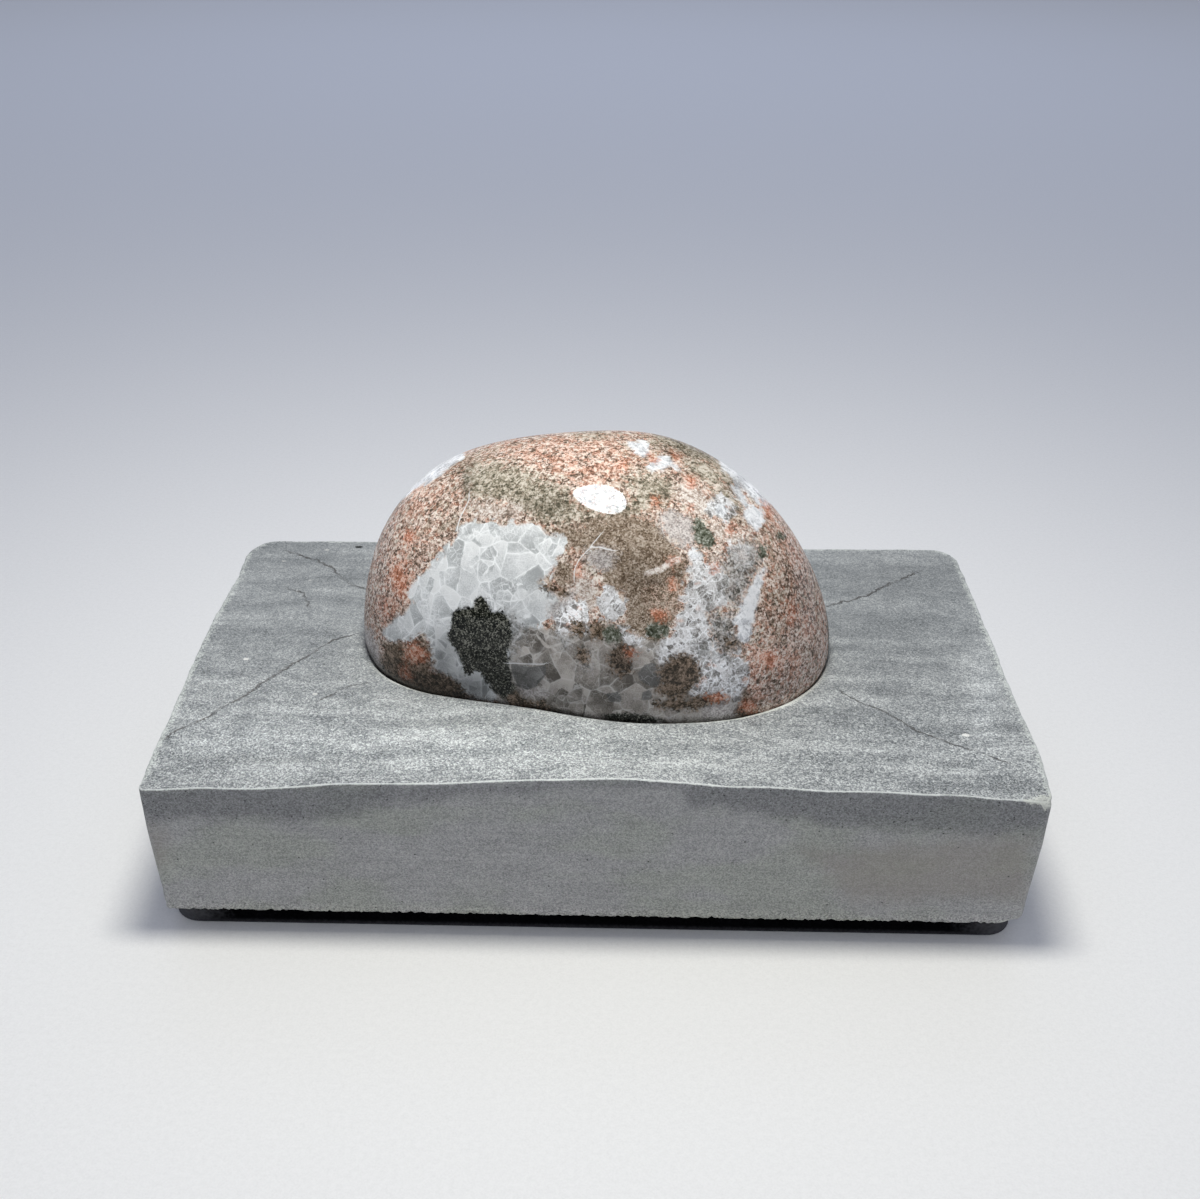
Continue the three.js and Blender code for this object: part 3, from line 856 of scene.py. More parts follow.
# Colours of all its rocks; the rosy areas of granite also tint the brown one
def rockColours(stone, rosy):
    tones = {
        "salmon": stone.speckle + stone.medium * 0.4,
        "olive": stone.speckle + stone.medium * 1.2 + stone.slow * 0.5 - 0.03,
        "peach": stone.speckle + stone.medium * 0.6,
        "brown": stone.sand + stone.medium * 0.9 + stone.slow * 0.4,
        "quartz": stone.quartzTone + stone.milk * 0.8 + stone.grit,
        "smoky": stone.quartzTone + stone.medium * 0.5 + stone.milk * 0.6 + stone.grit * 0.7,
        "lace": stone.laceTone + stone.slow * 0.6 + stone.medium * 1.2 + stone.grit * 1.5 - 0.05,
        "cloud": stone.speckle * 0.8 + stone.medium + 0.1,
        "pale": stone.sand + stone.medium * 0.8,
        "crystal": stone.quartzTone * 0.6 + stone.medium * 0.6 + stone.grit * 0.8 + 0.15,
        "rust": stone.speckle + stone.medium * 0.8,
        "dark": stone.sand + stone.medium * 0.4,
        "green": stone.speckle * 0.7 + stone.medium * 0.4 + 0.14,
        "white": stone.laceTone * 0.8 + stone.milk + stone.medium * 1.6 + stone.grit * 1.4 + 0.12,
        "orange": stone.speckle + stone.medium,
    }
    made = {rock: tone.ramp(minerals[rock]) for rock, tone in tones.items()}
    made["ridge"] = (tones["peach"] + 0.25).ramp(minerals["peach"])
    made["brown"] = made["brown"].mix(made["salmon"], rosy * (stone.speckle - 0.1).step(0.35, 0.6) * 0.35)
    made["lace"] = made["lace"].mix(made["salmon"], stone.blots.step(0.6, 0.7) * 0.5)
    seams = {
        "quartz": ((0.95, 0.97, 0.975, 1), stone.quartzLines.most(stone.flakes * 0.8) * 0.9),
        "smoky": ((0.66, 0.64, 0.61, 1), stone.quartzLines.most(stone.flakes * 0.6) * 0.7),
        "lace": ((0.93, 0.94, 0.96, 1), stone.laceLines.most(stone.flakes) * 0.92),
        "cloud": ((0.85, 0.86, 0.88, 1), stone.laceLines * 0.5),
        "crystal": ((0.6, 0.6, 0.6, 1), stone.flakes * 0.4),
        "white": ((0.93, 0.945, 0.97, 1), stone.laceLines.most(stone.flakes) * 0.8),
    }
    for rock, (light, seam) in seams.items():
        made[rock] = made[rock].mix(light, seam)
    return made


# The granite that the other rocks lie in, with salmon and greenish patches of its own
def graniteColour(stone, rock, rosy, shade):
    tone = stone.speckle * 1.12 + stone.slow * 0.4 + stone.medium * 0.5 + shade * 0.3 - 0.36
    pink = stone.coarse.part(1) * 0.45 + stone.patches + stone.slow * 0.35 + rosy * 0.15
    greenish = stone.patches + stone.coarse.part(0) * 0.16 - rosy * 0.15
    colour = tone.ramp(minerals["granite"]).mix(rock["salmon"], pink.step(0.76, 0.88) * 0.64)
    return colour.mix(rock["olive"], greenish.step(0.58, 0.72) * 0.6)


def cobbleMaterial():
    made, start, place = newMaterial("polishedPuddingstone")
    stone = cobbleTextures(place)

    def inside(rock, ragged, soft):
        edge = stone.jaggedEdge if rock in jaggedRocks else stone.grainyEdge
        return (reading(start, rock) + edge * ragged).step(-soft, soft)

    shade = reading(start, "shade")
    rosy = inside("rosy", *rosyEdge)
    rock = rockColours(stone, rosy)
    colour = graniteColour(stone, rock, rosy, shade)
    for name, (ragged, soft, cover) in rockEdges.items():
        colour = colour.mix(rock[name], inside(name, ragged, soft) * cover)

    line = 1 - abs(reading(start, "hairline") + stone.medium * 2.5).step(0.3, 1.2)
    line = line * (1 - reading(start, "nearHairline").step(0.4, 1.3)) * 0.8
    colour = colour.mix((0.86, 0.87, 0.88, 1), line)
    # painted shade just above where it meets the slab, then the shade areas, some of them painted shade
    height, dark = paintedSeatShade
    low = 1 - (reading(start, "aboveSeat") + stone.grit * 2).step(0.0, height)
    colour = colour.mix(shade * (1 - low * dark), 1.0, "MULTIPLY")

    # the polish is a thin coat: worn at the pits, and weaker where it is seen along the surface
    dustAndPaintedLight = place.drift(2.0, 0.5).cells(2.3)
    pit = dustAndPaintedLight.part(1).step(0.45, 0.5) * (1 - dustAndPaintedLight.beside("Distance").step(0.04, 0.075))
    along = start.node("ShaderNodeLayerWeight", None, {"Blend": 0.5}, "Facing").step(0.45, 0.9)
    finishMaterial(start, {"Base Color": colour, "Roughness": 0.5 + stone.grit * 0.4,
                           "Specular IOR Level": 0.0, "Coat Weight": (1 - pit * 0.85) * (1 - along * 0.55),
                           "Coat IOR": 1.33, "Coat Roughness": 0.02}, 1 - pit, 0.02)
    return made


cobblePiece = makeCobble()
markCobble(cobblePiece)
finishPiece(cobblePiece, cobbleMaterial(), "puddingstone")


# The slate slab: rings run out from the lip of the hollow over the top, down the sides and under

slab = {
    "length": 181.2,
    "width": 102.6,
    "low": 6.0,
    "height": 30.6,
    "crown": (3.9, 5.4, 92.0, 105.0, 20.0),  # height, peak x, reach left and right, where it ends in y
    "leftEdge": [(-51.3, -87.8), (-40, -88.5), (-28, -88.6), (-10, -89.0), (0, -89.3), (14, -89.4),
                 (24, -89.1), (32, -88.9), (40, -89.3), (51.3, -89.6)],  # y, then x there
    "rightEdge": [(-51.3, 88.0), (-44, 89.0), (-36, 89.7), (-6, 90.0), (4, 90.6), (51.3, 90.6)],
    "radii": {"backLeft": 8.0, "backRight": 6.0, "front": 1.2},
    "waviness": (0.3, 19.0, 14.0),
    "frontBumps": [(-76, 0.5, 6), (-50, 0.45, 7), (-28, -0.5, 9), (5.5, 0.5, 9), (26.5, -0.35, 5),
                   (44, -0.25, 5), (57, 0.25, 8), (70, 0.4, 5)],  # x, height, spread
    "bumpsFrom": (-40.0, 9.0),  # the y where they begin, and over what length they grow
    "uneven": [(0.17, 6.0), (0.12, 1.5)],  # of its side and back edges: how far, over what length
    "sawnFront": (1.0, 4.0),  # how far back the sides stay straight, and how slowly they turn uneven
    "arris": {"front": 0.35, "sides": 0.7, "back": 0.5},
    "arrisWear": [(0.5, 2.2, 3), (0.35, 8.0, 9)],  # share of its size, over what length, noise depth
    "arrisBlend": (3.0, 2.5),  # how far round the corners those of front and back reach, and fade
    "rim": {"front": 0.4, "sides": 1.9},  # width of the pale broken edge
    "tuck": (0.75, 26.0, 15.0),  # how far the ends draw in, below what height, and over what height
    "seatGap": 0.3,
    "frontGap": (-80.0, 14.0, 0.5),  # where the seat stands off: azimuth, spread in degrees, extra gap
    "hollowFloor": -68.0,  # elevation where its wall turns into the floor
    "hollowSpacing": 1.6,  # its rings stand closer towards the lip
    "lipWear": (1.6, 0.4),  # width and depth
    "lipShine": 1.5,  # how far out its pale line reaches
    "around": 860,
    "planPoints": 4000,
    "cornerSteps": 12,
    "frontDetail": 2.4,  # points along the front, to one elsewhere
    "topRings": 40,
    "sideRings": 26,
    "hollowRings": 12,
    "lipSteps": 12,  # how often the lip of the hollow is refined
    "sightSteps": 6,  # and a place that shows from the camera
    "relief": [(0.09, 4.0, 3, 0), (0.036, 1.2, 1, 7)],  # height, size, stretch in x, noise depth
    "ragged": [(1.0, 0.8, 0), (0.5, 2.4, 5)],  # teeth of its lower edge: share, size, noise depth
    "raggedHeight": (0.62, 0.15, 0.25),  # of the teeth, the share added to all, and how low they begin
    "sideRelief": (0.03, 2.5, 3),  # height, size, stretch in plan
    "crumble": (0.96, 0.1, 0.9),  # how far down its sides it sets in, how deep and how large
    "underInset": 3.0,
    "breakGrain": (0.12, 1.4),  # height and size of the unevenness in its broken corners
    "bedFade": (-48.0, 50.0),  # the y behind which the beds end, and what that takes off their depth
    "crackFloor": 35.0,  # no crack shows below this height
}

# Bits broken off the right front corner, above and below: a point of the break and where it faces
chips = {
    "top": ((83.0, -51.3, 37.0), (0.28, -0.70, 0.66)),
    "bottom": ((82.9, -51.3, 6.0), (0.31, -0.25, -0.92)),
}
chipArea = (60, -40)  # they stay right of this x and in front of this y

# Where the lip of the hollow shows pale, a painted highlight with some pale wear: azimuth and spread in
# degrees, strength
lipLights = {
    "right": (-38, 24, 1.0),
    "left": (207, 16, 0.7),
}

# Cracks in its top, as they show from the camera: width in millimetres, then where each runs
cracks = {
    "back left": (0.34, (290, 552), (316, 560), (332, 568), (341, 577), (352, 585), (364, 588)),
    "left": (0.34, (350, 636), (336, 639), (323, 646), (305, 658), (288, 667), (265, 681), (244, 697),
             (227, 704), (208, 717), (193, 724), (178, 730), (165, 738)),
    "left short": (0.24, (366, 683), (346, 687), (333, 694), (319, 700)),
    "arc": (0.3, (292, 590), (303, 593), (309, 605)),
    "back right": (0.34, (917, 572), (904, 578), (889, 584), (868, 595), (850, 601), (838, 603),
                   (828, 606)),
    "right": (0.24, (842, 692), (860, 703), (876, 708), (899, 720), (917, 731), (937, 738), (957, 746),
              (972, 750), (1004, 761)),
}

# Light and dark specks in it: where each shows, half width in millimetres, how light it is
specks = {
    "right": (966, 735, 0.62, 0.85),
    "left": (246, 659, 0.5, 0.75),
    "low left": (315, 694, 0.4, 0.7),
    "back": (327, 550, 0.42, 0.55),
    "back left": (284, 561, 0.35, 0.5),
    "middle": (310, 580, 0.3, 0.55),
    "dark": (359, 547, 0.7, 0.03),
}

slabBeds = {
    "darkBed": {
        "left": [(130, 786), (545, 780), (536, 794), (464, 799), (400, 804), (372, 810), (340, 818),
                 (300, 822), (248, 824), (200, 821), (130, 824)],
        "middle": [(530, 776), (690, 776), (690, 792), (640, 791), (590, 790), (530, 793)],
        "right": [(675, 780), (760, 780), (1050, 797), (1047, 836), (940, 832), (850, 827), (819, 822),
                  (740, 812), (690, 806)],
    },
    "brownBed": {
        "right": [(800, 850), (1035, 836), (1025, 900), (850, 905)],
        "left": [(138, 825), (166, 828), (172, 862), (158, 872), (150, 868)],
    },
}

# Lighter and darker areas of its top: x, y, reach in x and y, factor. It is lighter towards the front; the
# bank before the cobble is painted light, the groove beside it painted shade, and the lip's lighter spots a
# painted highlight with some pale wear.
slabShades = {
    "front left": (250, 742, 110, 30, 1.2),
    "front centre": (520, 744, 170, 30, 1.4),
    "front right": (860, 752, 130, 24, 0.98),
    "smudge": (262, 760, 62, 5, 0.76),
    # painted light on the bank before the cobble, painted shade in the groove beside it
    "bank": (470, 709, 75, 8, 1.12),
    "groove": (455, 722, 60, 5, 0.82),
    # painted highlight at the lip, with some pale wear
    "lip left": (392, 684, 26, 10, 1.12),
    "lip right": (780, 706, 40, 9, 1.2),
    "right middle": (890, 650, 85, 60, 0.82),
    "back right": (890, 575, 85, 26, 0.84),
    "right edge": (985, 700, 16, 60, 1.25),
    "back left": (310, 565, 80, 34, 0.92),
    "left middle": (290, 640, 70, 34, 0.95),
}


def slabTop(x, y):
    height, peak, left, right, endY = slab["crown"]
    reach = left if x < peak else right
    swell = math.cos(math.pi / 2 * max(-1, min(1, (x - peak) / reach))) ** 2
    forward = max(0, min(1, (endY - y) / (endY + slab["width"] / 2)))
    wave, lengthX, lengthY = slab["waviness"]
    even = slab["low"] + slab["height"] + height * swell * forward
    even += wave * math.sin(x / lengthX) * math.cos(y / lengthY)
    startY, length = slab["bumpsFrom"]
    atFront = max(0, min(1, (startY - y) / length)) ** 2
    if atFront:
        bumps = (rise * math.exp(-((x - at) / spread) ** 2) for at, rise, spread in slab["frontBumps"])
        even += atFront * sum(bumps)
    return even


# Points along a closed path, spaced by the weight of each of its steps
def respaced(path, count, weights=1.0):
    steps = np.hypot(*np.diff(path, axis=0).T) * weights
    along = np.concatenate(([0], np.cumsum(steps)))
    even = np.linspace(0, along[-1], count, endpoint=False)
    return np.stack([np.interp(even, along, path[:, 0]), np.interp(even, along, path[:, 1])], 1)


# The slab's rounded plan, a little uneven but for its sawn front
def slabPlan(count):
    halfX, halfY = slab["length"] / 2, slab["width"] / 2
    radii = slab["radii"]
    corners = [(1, 1, radii["backRight"], 0), (-1, 1, radii["backLeft"], 90),
               (-1, -1, radii["front"], 180), (1, -1, radii["front"], 270)]
    path = [(halfX, 0.0)]
    for signX, signY, radius, begin in corners:
        for step in range(slab["cornerSteps"] + 1):
            a = math.radians(begin + step * 90 / slab["cornerSteps"])
            path.append((signX * (halfX - radius) + radius * math.cos(a),
                         signY * (halfY - radius) + radius * math.sin(a)))
    path.append(path[0])
    path = respaced(np.array(path), slab["planPoints"])
    left = -np.interp(path[:, 1], *zip(*slab["leftEdge"])) / halfX
    right = np.interp(path[:, 1], *zip(*slab["rightEdge"])) / halfX
    path[:, 0] *= np.where(path[:, 0] < 0, left, right)
    along = np.roll(path, -1, axis=0) - np.roll(path, 1, axis=0)
    outward = np.stack([along[:, 1], -along[:, 0]], 1) / np.hypot(*along.T)[:, None]
    straight, length = slab["sawnFront"]
    for reach, size in slab["uneven"]:
        shift = np.array([noise.noise(Vector((x, y, 0)) / size) for x, y in path]) * reach
        path += outward * (shift * np.clip((path[:, 1] + halfY - straight) / length, 0, 1))[:, None]
    path = np.concatenate([path, path[:1]])
    atFront = path[:-1, 1] < straight - halfY
    return respaced(path, count, np.where(atFront, slab["frontDetail"], 1))


def seatClearance(azimuths):
    middle, spread, extra = slab["frontGap"]
    return slab["seatGap"] + extra * np.exp(-((np.degrees(azimuths) - middle) / spread) ** 2)


def directionsAt(azimuths, elevations):
    level = np.cos(elevations)
    return np.stack([level * np.cos(azimuths), level * np.sin(azimuths), np.sin(elevations)], 1)


# Where the hollow's wall meets the slab's top, and its elevation from the cobble's centre
def hollowLip(azimuths):
    cx, cy, cz = cobble["centre"]
    elevations = np.zeros(len(azimuths))
    for _ in range(slab["lipSteps"]):
        reach = pebbleReach(directionsAt(azimuths, elevations), seatClearance(azimuths))
        reach = reach * np.cos(elevations)
        x, y = cx + reach * np.cos(azimuths), cy + reach * np.sin(azimuths)
        top = np.array([slabTop(*p) for p in zip(x, y)])
        elevations = np.arctan2(top - cz, reach)
    return np.stack([x, y], 1), elevations


# The place on the slab's top that shows at a picture place
def onSlab(px, py):
    ray = Vector(((px - camera["frame"][0] / 2) / focal, (camera["frame"][1] / 2 - py) / focal, -1))
    ray = cameraMatrix().to_3x3() @ ray
    eye = Vector(camera["place"])
    x, y = 0.0, 0.0
    for _ in range(slab["sightSteps"]):
        hit = eye + ray * ((slabTop(x, y) - eye.z) / ray.z)
        x, y = hit.x, hit.y
    return x, y


# How pale the lip of the hollow is in each direction: a painted highlight with some pale wear
def lipGlow(azimuths):
    glow = np.zeros(len(azimuths))
    for azimuth, spread, strength in lipLights.values():
        away = (np.degrees(azimuths) - azimuth + 180) % 360 - 180
        glow = np.maximum(glow, strength * np.exp(-(away / spread) ** 2))
    return glow


# Noise in a few sizes; each layer has its own height, size and depth in the noise
def layeredNoise(x, y, layers):
    return sum(height * noise.noise(Vector((x, y, depth)) / size) for height, size, depth in layers)


# Size of the rounded top edge at each point of the outline
def arrisSizes(plan, atFront, atBack):
    sizes = slab["arris"]
    even = sizes["sides"] + (sizes["front"] - sizes["sides"]) * atFront
    even += (sizes["back"] - sizes["sides"]) * atBack
    return even * (1 + np.array([layeredNoise(x, y, slab["arrisWear"]) for x, y in plan]))


def breakCorners(bm, broken):
    height, size = slab["breakGrain"]
    for point, facing in chips.values():
        facing = Vector(facing).normalized()
        for v in bm.verts:
            over = (v.co - Vector(point)).dot(facing) + height * noise.noise(v.co / size)
            if over > 0 and v.co.x > chipArea[0] and v.co.y < chipArea[1]:
                v.co -= facing * over
                v[broken] = 1.0


def makeSlab():
    plan = slabPlan(slab["around"])
    azimuths = np.arctan2(plan[:, 1] - cobble["centre"][1], plan[:, 0] - cobble["centre"][0])
    lip, lipElevations = hollowLip(azimuths)
    lipLight = lipGlow(azimuths)
    outward = plan - lip
    span = np.hypot(*outward.T)
    outward /= span[:, None]
    begin, length = slab["arrisBlend"]
    atFront, atBack = (np.clip((begin - slab["width"] / 2 + y) / length, 0, 1)
                       for y in (-plan[:, 1], plan[:, 1]))
    sizes = arrisSizes(plan, atFront, atBack)
    rimWidths = slab["rim"]["sides"] + (slab["rim"]["front"] - slab["rim"]["sides"]) * atFront
    wearReach, wearDepth = slab["lipWear"]

    def onTop(i, distance):
        x, y = lip[i] + outward[i] * distance
        z = slabTop(x, y)
        for height, size, stretch, depth in slab["relief"]:
            z += height * noise.noise(Vector((x / stretch, y, depth)) / size)
        worn = max(0, 1 - distance / wearReach)
        return Vector((x, y, z - wearDepth * worn * worn))

    bm = bmesh.new()
    order = bm.verts.layers.int.new("order")
    floats = bm.verts.layers.float
    side, rim, lipPale, broken = (floats.new(name) for name in ("side", "rim", "lipPale", "broken"))
    ring = bmesh.ops.create_circle(bm, segments=slab["around"], radius=1)["verts"]
    for i, v in enumerate(ring):
        v[order] = i
        v.co = onTop(i, 0)
        v[rim] = unmarked
        v[lipPale] = lipLight[i]
    lipEdges = list(bm.edges)
    topEdge = [onTop(i, span[i]).z for i in range(slab["around"])]

    # Grows the open edge by one ring and puts each of its points in place
    def nextRing(edges, findPlace, down=0.0):
        grown = bmesh.ops.extrude_edge_only(bm, edges=edges)["geom"]
        verts = {g for g in grown if isinstance(g, bmesh.types.BMVert)}
        for v in verts:
            i = v[order]
            v.co = findPlace(i)
            v[side] = down
            inside = Vector(plan[i] - np.array(v.co.xy)).dot(Vector(outward[i]))
            v[rim] = 1 - (inside + max(0, topEdge[i] - v.co.z) * down) / rimWidths[i]
            v[lipPale] = unmarked
            if down == 0:
                v[lipPale] = lipLight[i] * (1 - (span[i] - inside) / slab["lipShine"])
        return [g for g in grown if isinstance(g, bmesh.types.BMEdge) and set(g.verts) <= verts]

    # over the top: the worn lip, then evenly out to the edge
    edges = lipEdges
    for share in (0.15, 0.35, 0.6, 1.0):
        edges = nextRing(edges, lambda i: onTop(i, wearReach * share))
    for step in range(1, slab["topRings"] + 1):
        share = step / slab["topRings"]
        edges = nextRing(edges, lambda i: onTop(i, wearReach + (span[i] - sizes[i] - wearReach) * share))

    # the rounded edge
    for angle in (22.5, 45.0, 67.5, 90.0):
        a = math.radians(angle)

        def onEdge(i):
            x, y = plan[i] - outward[i] * sizes[i] * (1 - math.sin(a))
            return Vector((x, y, topEdge[i] - sizes[i] * (1 - math.cos(a))))
        edges = nextRing(edges, onEdge, angle / 90)
    edgeHeights = {v[order]: v.co.z for e in edges for v in e.verts}

    # down the sides to the broken lower edge
    toothHeight, raised, beginsLower = slab["raggedHeight"]
    reliefHeight, reliefSize, stretch = slab["sideRelief"]
    crumbleFrom, crumbleDepth, crumbleSize = slab["crumble"]
    tuck, tuckFrom, tuckOver = slab["tuck"]
    frontEnd = slab["rightEdge"][0][1]
    for step in range(1, slab["sideRings"] + 1):
        share = step / slab["sideRings"]

        def onSide(i):
            x, y = plan[i]
            teeth = toothHeight * (raised + layeredNoise(x, y, slab["ragged"]))
            low = slab["low"] - beginsLower + max(0, teeth)
            z = edgeHeights[i] + (low - edgeHeights[i]) * share
            shove = reliefHeight * noise.noise(Vector((x / stretch, y / stretch, z)) / reliefSize)
            if share > crumbleFrom:
                shove -= crumbleDepth * (1 + noise.noise(Vector((x, y, z)) / crumbleSize))
            x *= 1 - tuck / frontEnd * max(0, min(1, (tuckFrom - z) / tuckOver))
            return Vector((x, y, z)) + Vector((*outward[i], 0)) * shove
        edges = nextRing(edges, onSide, 1.0)

    def underneath(i):
        return Vector((*(plan[i] - outward[i] * slab["underInset"]), slab["low"]))
    edges = nextRing(edges, underneath, 1.0)
    bmesh.ops.contextual_create(bm, geom=edges)

    # down into the hollow
    edges = lipEdges
    for step in range(1, slab["hollowRings"] + 1):
        share = (step / slab["hollowRings"]) ** slab["hollowSpacing"]
        elevations = lipElevations + (math.radians(slab["hollowFloor"]) - lipElevations) * share
        points = pebblePoints(directionsAt(azimuths, elevations), seatClearance(azimuths), slab["seatGap"])
        edges = nextRing(edges, lambda i: Vector(points[i]))
    bmesh.ops.contextual_create(bm, geom=edges)

    breakCorners(bm, broken)
    for face in bm.faces:
        face.smooth = True
    return toObject(bm, "slate_block")


def markSlab(piece):
    mesh = piece.data
    places = np.array([v.co for v in mesh.vertices]) / mm
    px, py, pixel = pictureOf(places)
    endY, taken = slab["bedFade"]
    for bed, outlines in slabBeds.items():
        addLayer(mesh, bed, deepest(px, py, outlines) * pixel - taken * (places[:, 1] > endY))
    onTop = {name: (line[0], *(onSlab(*p) for p in line[1:])) for name, line in cracks.items()}
    signed, nearest = lineOffsets(places[:, 0], places[:, 1], onTop)
    addLayer(mesh, "crack", signed)
    addLayer(mesh, "nearCrack", nearest + unreached * (places[:, 2] < slab["crackFloor"]))
    addLayer(mesh, "shade", shadeAt(px, py, slabShades))


slateTones = {
    "top": [(0.0, (0.10, 0.11, 0.115)), (0.3, (0.225, 0.24, 0.25)), (0.52, (0.31, 0.325, 0.335)),
            (0.72, (0.42, 0.435, 0.44)), (1.0, (0.68, 0.705, 0.70))],
    "side": [(0.0, (0.185, 0.19, 0.187)), (0.5, (0.368, 0.371, 0.368)), (1.0, (0.58, 0.58, 0.57))],
    "darkBed": [(0.1, (0.10, 0.105, 0.11)), (0.9, (0.26, 0.27, 0.275))],
}


# What its top and its sides share
def slateTextures(place):
    bands = place.drift(26.0, 7.0).vector("MULTIPLY", (0.12, 1.0, 1.0))
    return SimpleNamespace(
        forward=1 - place.part(1).step(-52, 30),  # the grain shows more towards the front
        grit=place.clouds(0.34, 1.0, 0.8) - 0.5,
        coarse=place.cells(0.5),
        sparkle=place.cells(0.26).part(0) - 0.5,
        mottle=place.clouds(5.0, 3.0, 0.65) - 0.5,
        rough=place.clouds(1.6, 2.0, 0.7) - 0.5,
        wide=bands.clouds(7.0, 2.0, 0.6) - 0.5,
        thin=bands.clouds(1.3, 2.0, 0.7) - 0.5,
    )


def slateTop(slate):
    fine = slate.grit * 0.58 + slate.sparkle * 0.48 + (slate.coarse.part(0) - 0.5) * 0.04
    slow = slate.mottle * 0.38 + slate.wide * 0.75 + slate.thin * 0.24
    tone = fine * (slate.forward * 0.8 + 0.95) + slow * (slate.forward * 0.6 + 0.9)
    flake = slate.coarse.part(1).step(0.93, 0.96) * slate.coarse.part(2) * slate.forward
    top = (tone + slate.forward * 0.06 + 0.5).ramp(slateTones["top"])
    return top.mix((0.80, 0.84, 0.83, 1), flake * 0.6)


# The sawn front and the other sides: streaks, a warmer tint in places, two beds and small holes
def slateSide(start, place, slate):
    streaks = place.vector("MULTIPLY", (0.06, 0.06, 1.0)).clouds(0.7, 2.0, 0.6) - 0.5
    crumbs = 1 - place.part(2).step(5.5, 9.0)
    fine = (slate.grit * 0.9 + slate.sparkle * 0.5) * (crumbs * 0.9 + 1)
    tone = fine + slate.mottle * 0.35 + streaks * 0.3 + crumbs * 0.1 + 0.5
    warmth = place.vector("MULTIPLY", (0.4, 1.0, 1.0)).clouds(9.0, 2.0).step(0.45, 0.62)
    sawn = tone.ramp(slateTones["side"]).mix((0.97, 1.0, 0.93, 1), warmth, "MULTIPLY")
    waver = (place.clouds(7.0, 2.0) - 0.5) * 4 + slate.grit * 3
    bed = (reading(start, "darkBed") + waver).step(-1.4, 2.0)
    sawn = sawn.mix((slate.sparkle + 0.5).ramp(slateTones["darkBed"]), bed * 0.72)
    tinted = (reading(start, "brownBed") + waver).step(-2.0, 3.0)
    sawn = sawn.mix((0.30, 0.272, 0.235, 1), tinted * 0.5)
    holes = place.cells(1.1)
    hole = (1 - holes.beside("Distance").step(0.12, 0.2)) * (holes.part(0) + bed * 0.4).step(0.94, 0.98)
    return sawn.mix((0.035, 0.035, 0.034, 1), hole * 0.9), hole


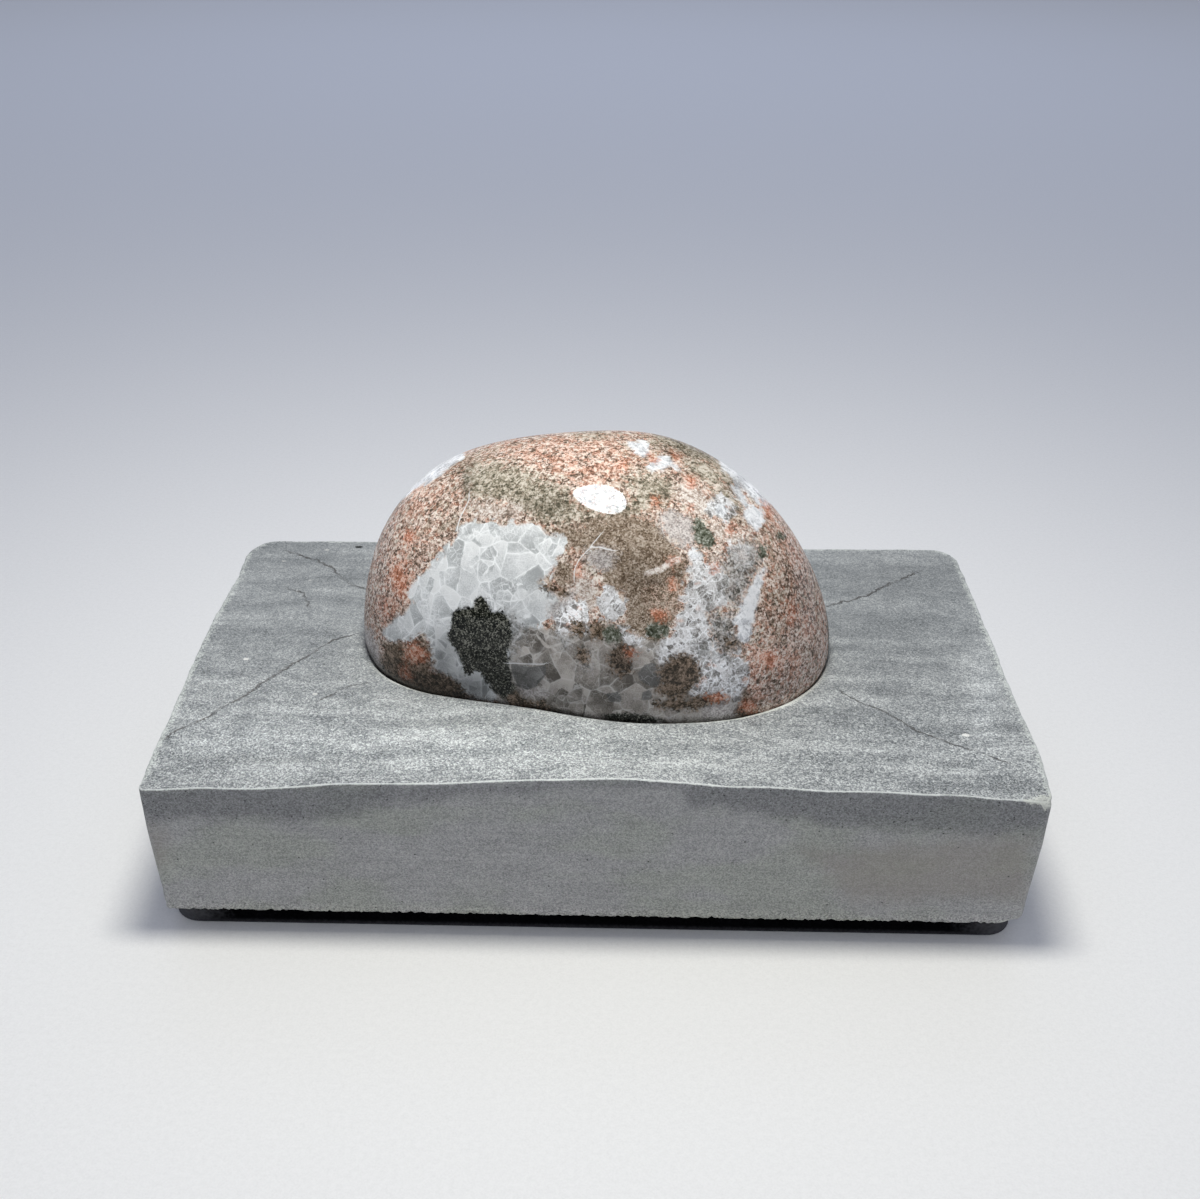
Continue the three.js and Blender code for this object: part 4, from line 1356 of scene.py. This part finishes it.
def slateMaterial():
    made, start, place = newMaterial("greySlate")
    slate = slateTextures(place)
    grit, rough = slate.grit, slate.rough
    side = reading(start, "side")
    sawn, hole = slateSide(start, place, slate)
    colour = slateTop(slate).mix(sawn, side.step(0.4, 0.95))

    # a painted highlight along the front's upper edge, with some pale wear; the cracks, then the other worn
    # and broken edges
    atFront = (1 - place.part(1).step(-50.5, -50.0)) * (rough + grit + 0.9).step(0.4, 0.8)
    along = side.step(0.02, 0.15) * (1 - side.step(0.55, 0.9)) * atFront
    colour = colour.mix((0.80, 0.82, 0.81, 1), along * 0.9)
    path = reading(start, "crack") + rough * 7 + grit * 2.5
    depth = place.clouds(5.0, 2.0).step(0.34, 0.56) * 0.7 + 0.3
    split = (1 - abs(path).step(0.2, 1.2)) * depth
    split = split * (1 - reading(start, "nearCrack").step(1.2, 3.0)) * (1 - side.step(0.0, 0.3))
    colour = colour.mix((0.10, 0.092, 0.085, 1), split * 0.8)
    pale = (reading(start, "rim") + grit * 2.0 + rough * 2.2).step(0.1, 0.75)
    colour = colour.mix((0.70, 0.735, 0.70, 1), pale * (slate.coarse.part(0) * 0.5 + 0.5) * 0.85)
    # painted highlight along the lip of the hollow, with some pale wear
    lipEdge = (reading(start, "lipPale") + grit * 0.8).step(0.15, 0.6)
    colour = colour.mix((0.80, 0.83, 0.80, 1), lipEdge * 0.85)
    fresh = (reading(start, "broken") + grit * 1.5 + rough).step(0.4, 0.9)
    colour = colour.mix((0.72, 0.74, 0.68, 1), fresh * 0.7)
    # the shade areas: among them painted light on the bank and lip, painted shade in the groove
    colour = colour.mix(reading(start, "shade"), 1.0, "MULTIPLY")
    for px, py, size, light in specks.values():
        x, y = onSlab(px, py)
        away = place.vector("SUBTRACT", (x, y, slabTop(x, y))).vector("MULTIPLY", (0.7, 1.0, 1.0))
        spot = (away.vector("LENGTH", (0, 0, 0), out="Value") + grit * size).step(size * 0.8, size * 1.1)
        colour = colour.mix((light, light, light * 0.97, 1), (1 - spot) * 0.95)

    height = grit * (slate.forward * 1.2 + 0.9) + slate.mottle * 0.3 + slate.thin * 0.4 + rough * 0.5
    finishMaterial(start, {"Base Color": colour, "Roughness": 0.62 + grit * 0.5},
                   height - split * 1.6 - hole, 0.16)
    return made


slabPiece = makeSlab()
markSlab(slabPiece)
finishPiece(slabPiece, slateMaterial(), "slate_slab")


# The foam pad under it

pad = {
    "thickness": 5.9,
    "frontInset": 2.4,
    "sideInset": 3.3,
    "cornerRadius": 6.0,
    "edge": 0.35,
    "cell": 0.7,
    # painted light: lighter towards its ends, where light reaches in under the slab
    "litEnds": (74, 88),  # it fades towards its ends
}


def makePad():
    bm = bmesh.new()
    bmesh.ops.create_cube(bm, size=1)
    sizeX, sizeY = slab["length"] - 2 * pad["sideInset"], slab["width"] - 2 * pad["frontInset"]
    bmesh.ops.scale(bm, vec=(sizeX, sizeY, pad["thickness"]), verts=bm.verts)
    bmesh.ops.translate(bm, vec=(0, 0, pad["thickness"] / 2), verts=bm.verts)
    upright = [e for e in bm.edges if abs(e.verts[0].co.z - e.verts[1].co.z) > 1]
    bmesh.ops.bevel(bm, geom=upright, offset=pad["cornerRadius"], offset_type="OFFSET", segments=10,
                    profile=0.5, affect="EDGES", material=-1)
    rims = [e for e in bm.edges if abs(e.verts[0].co.z - e.verts[1].co.z) < 0.01]
    bmesh.ops.bevel(bm, geom=rims, offset=pad["edge"], offset_type="OFFSET", segments=3,
                    profile=0.5, affect="EDGES", material=-1)
    return toObject(bm, "foam_backing")


def foamMaterial():
    made, start, place = newMaterial("blackFoam")
    bubbles = place.cells(pad["cell"], out="Distance")
    # the foam's black, darkened further as painted shade under the slab's overhang
    colour = (place.clouds(6.0, 3.0) * 0.5 + bubbles * 0.4).ramp([
        (0.2, (0.0008, 0.0009, 0.001)), (0.8, (0.005, 0.005, 0.006))])
    # painted light towards its ends and along its foot, where light reaches in under the slab
    dustAndPaintedLight = (abs(place.part(0)) + bubbles * 3 + place.clouds(3.0, 2.0) * 3 - 2).step(*pad["litEnds"])
    foot = 1 - (place.part(2) + bubbles * 0.5).step(0.2, 1.8)
    colour = colour.mix((0.26, 0.26, 0.28, 1), (dustAndPaintedLight * 0.35).most(foot * 0.18))
    finishMaterial(start, {"Base Color": colour, "Roughness": 0.95, "Specular IOR Level": 0.0},
                   bubbles, 0.2)
    return made


padPiece = makePad()
finishPiece(padPiece, foamMaterial(), "foam_pad")
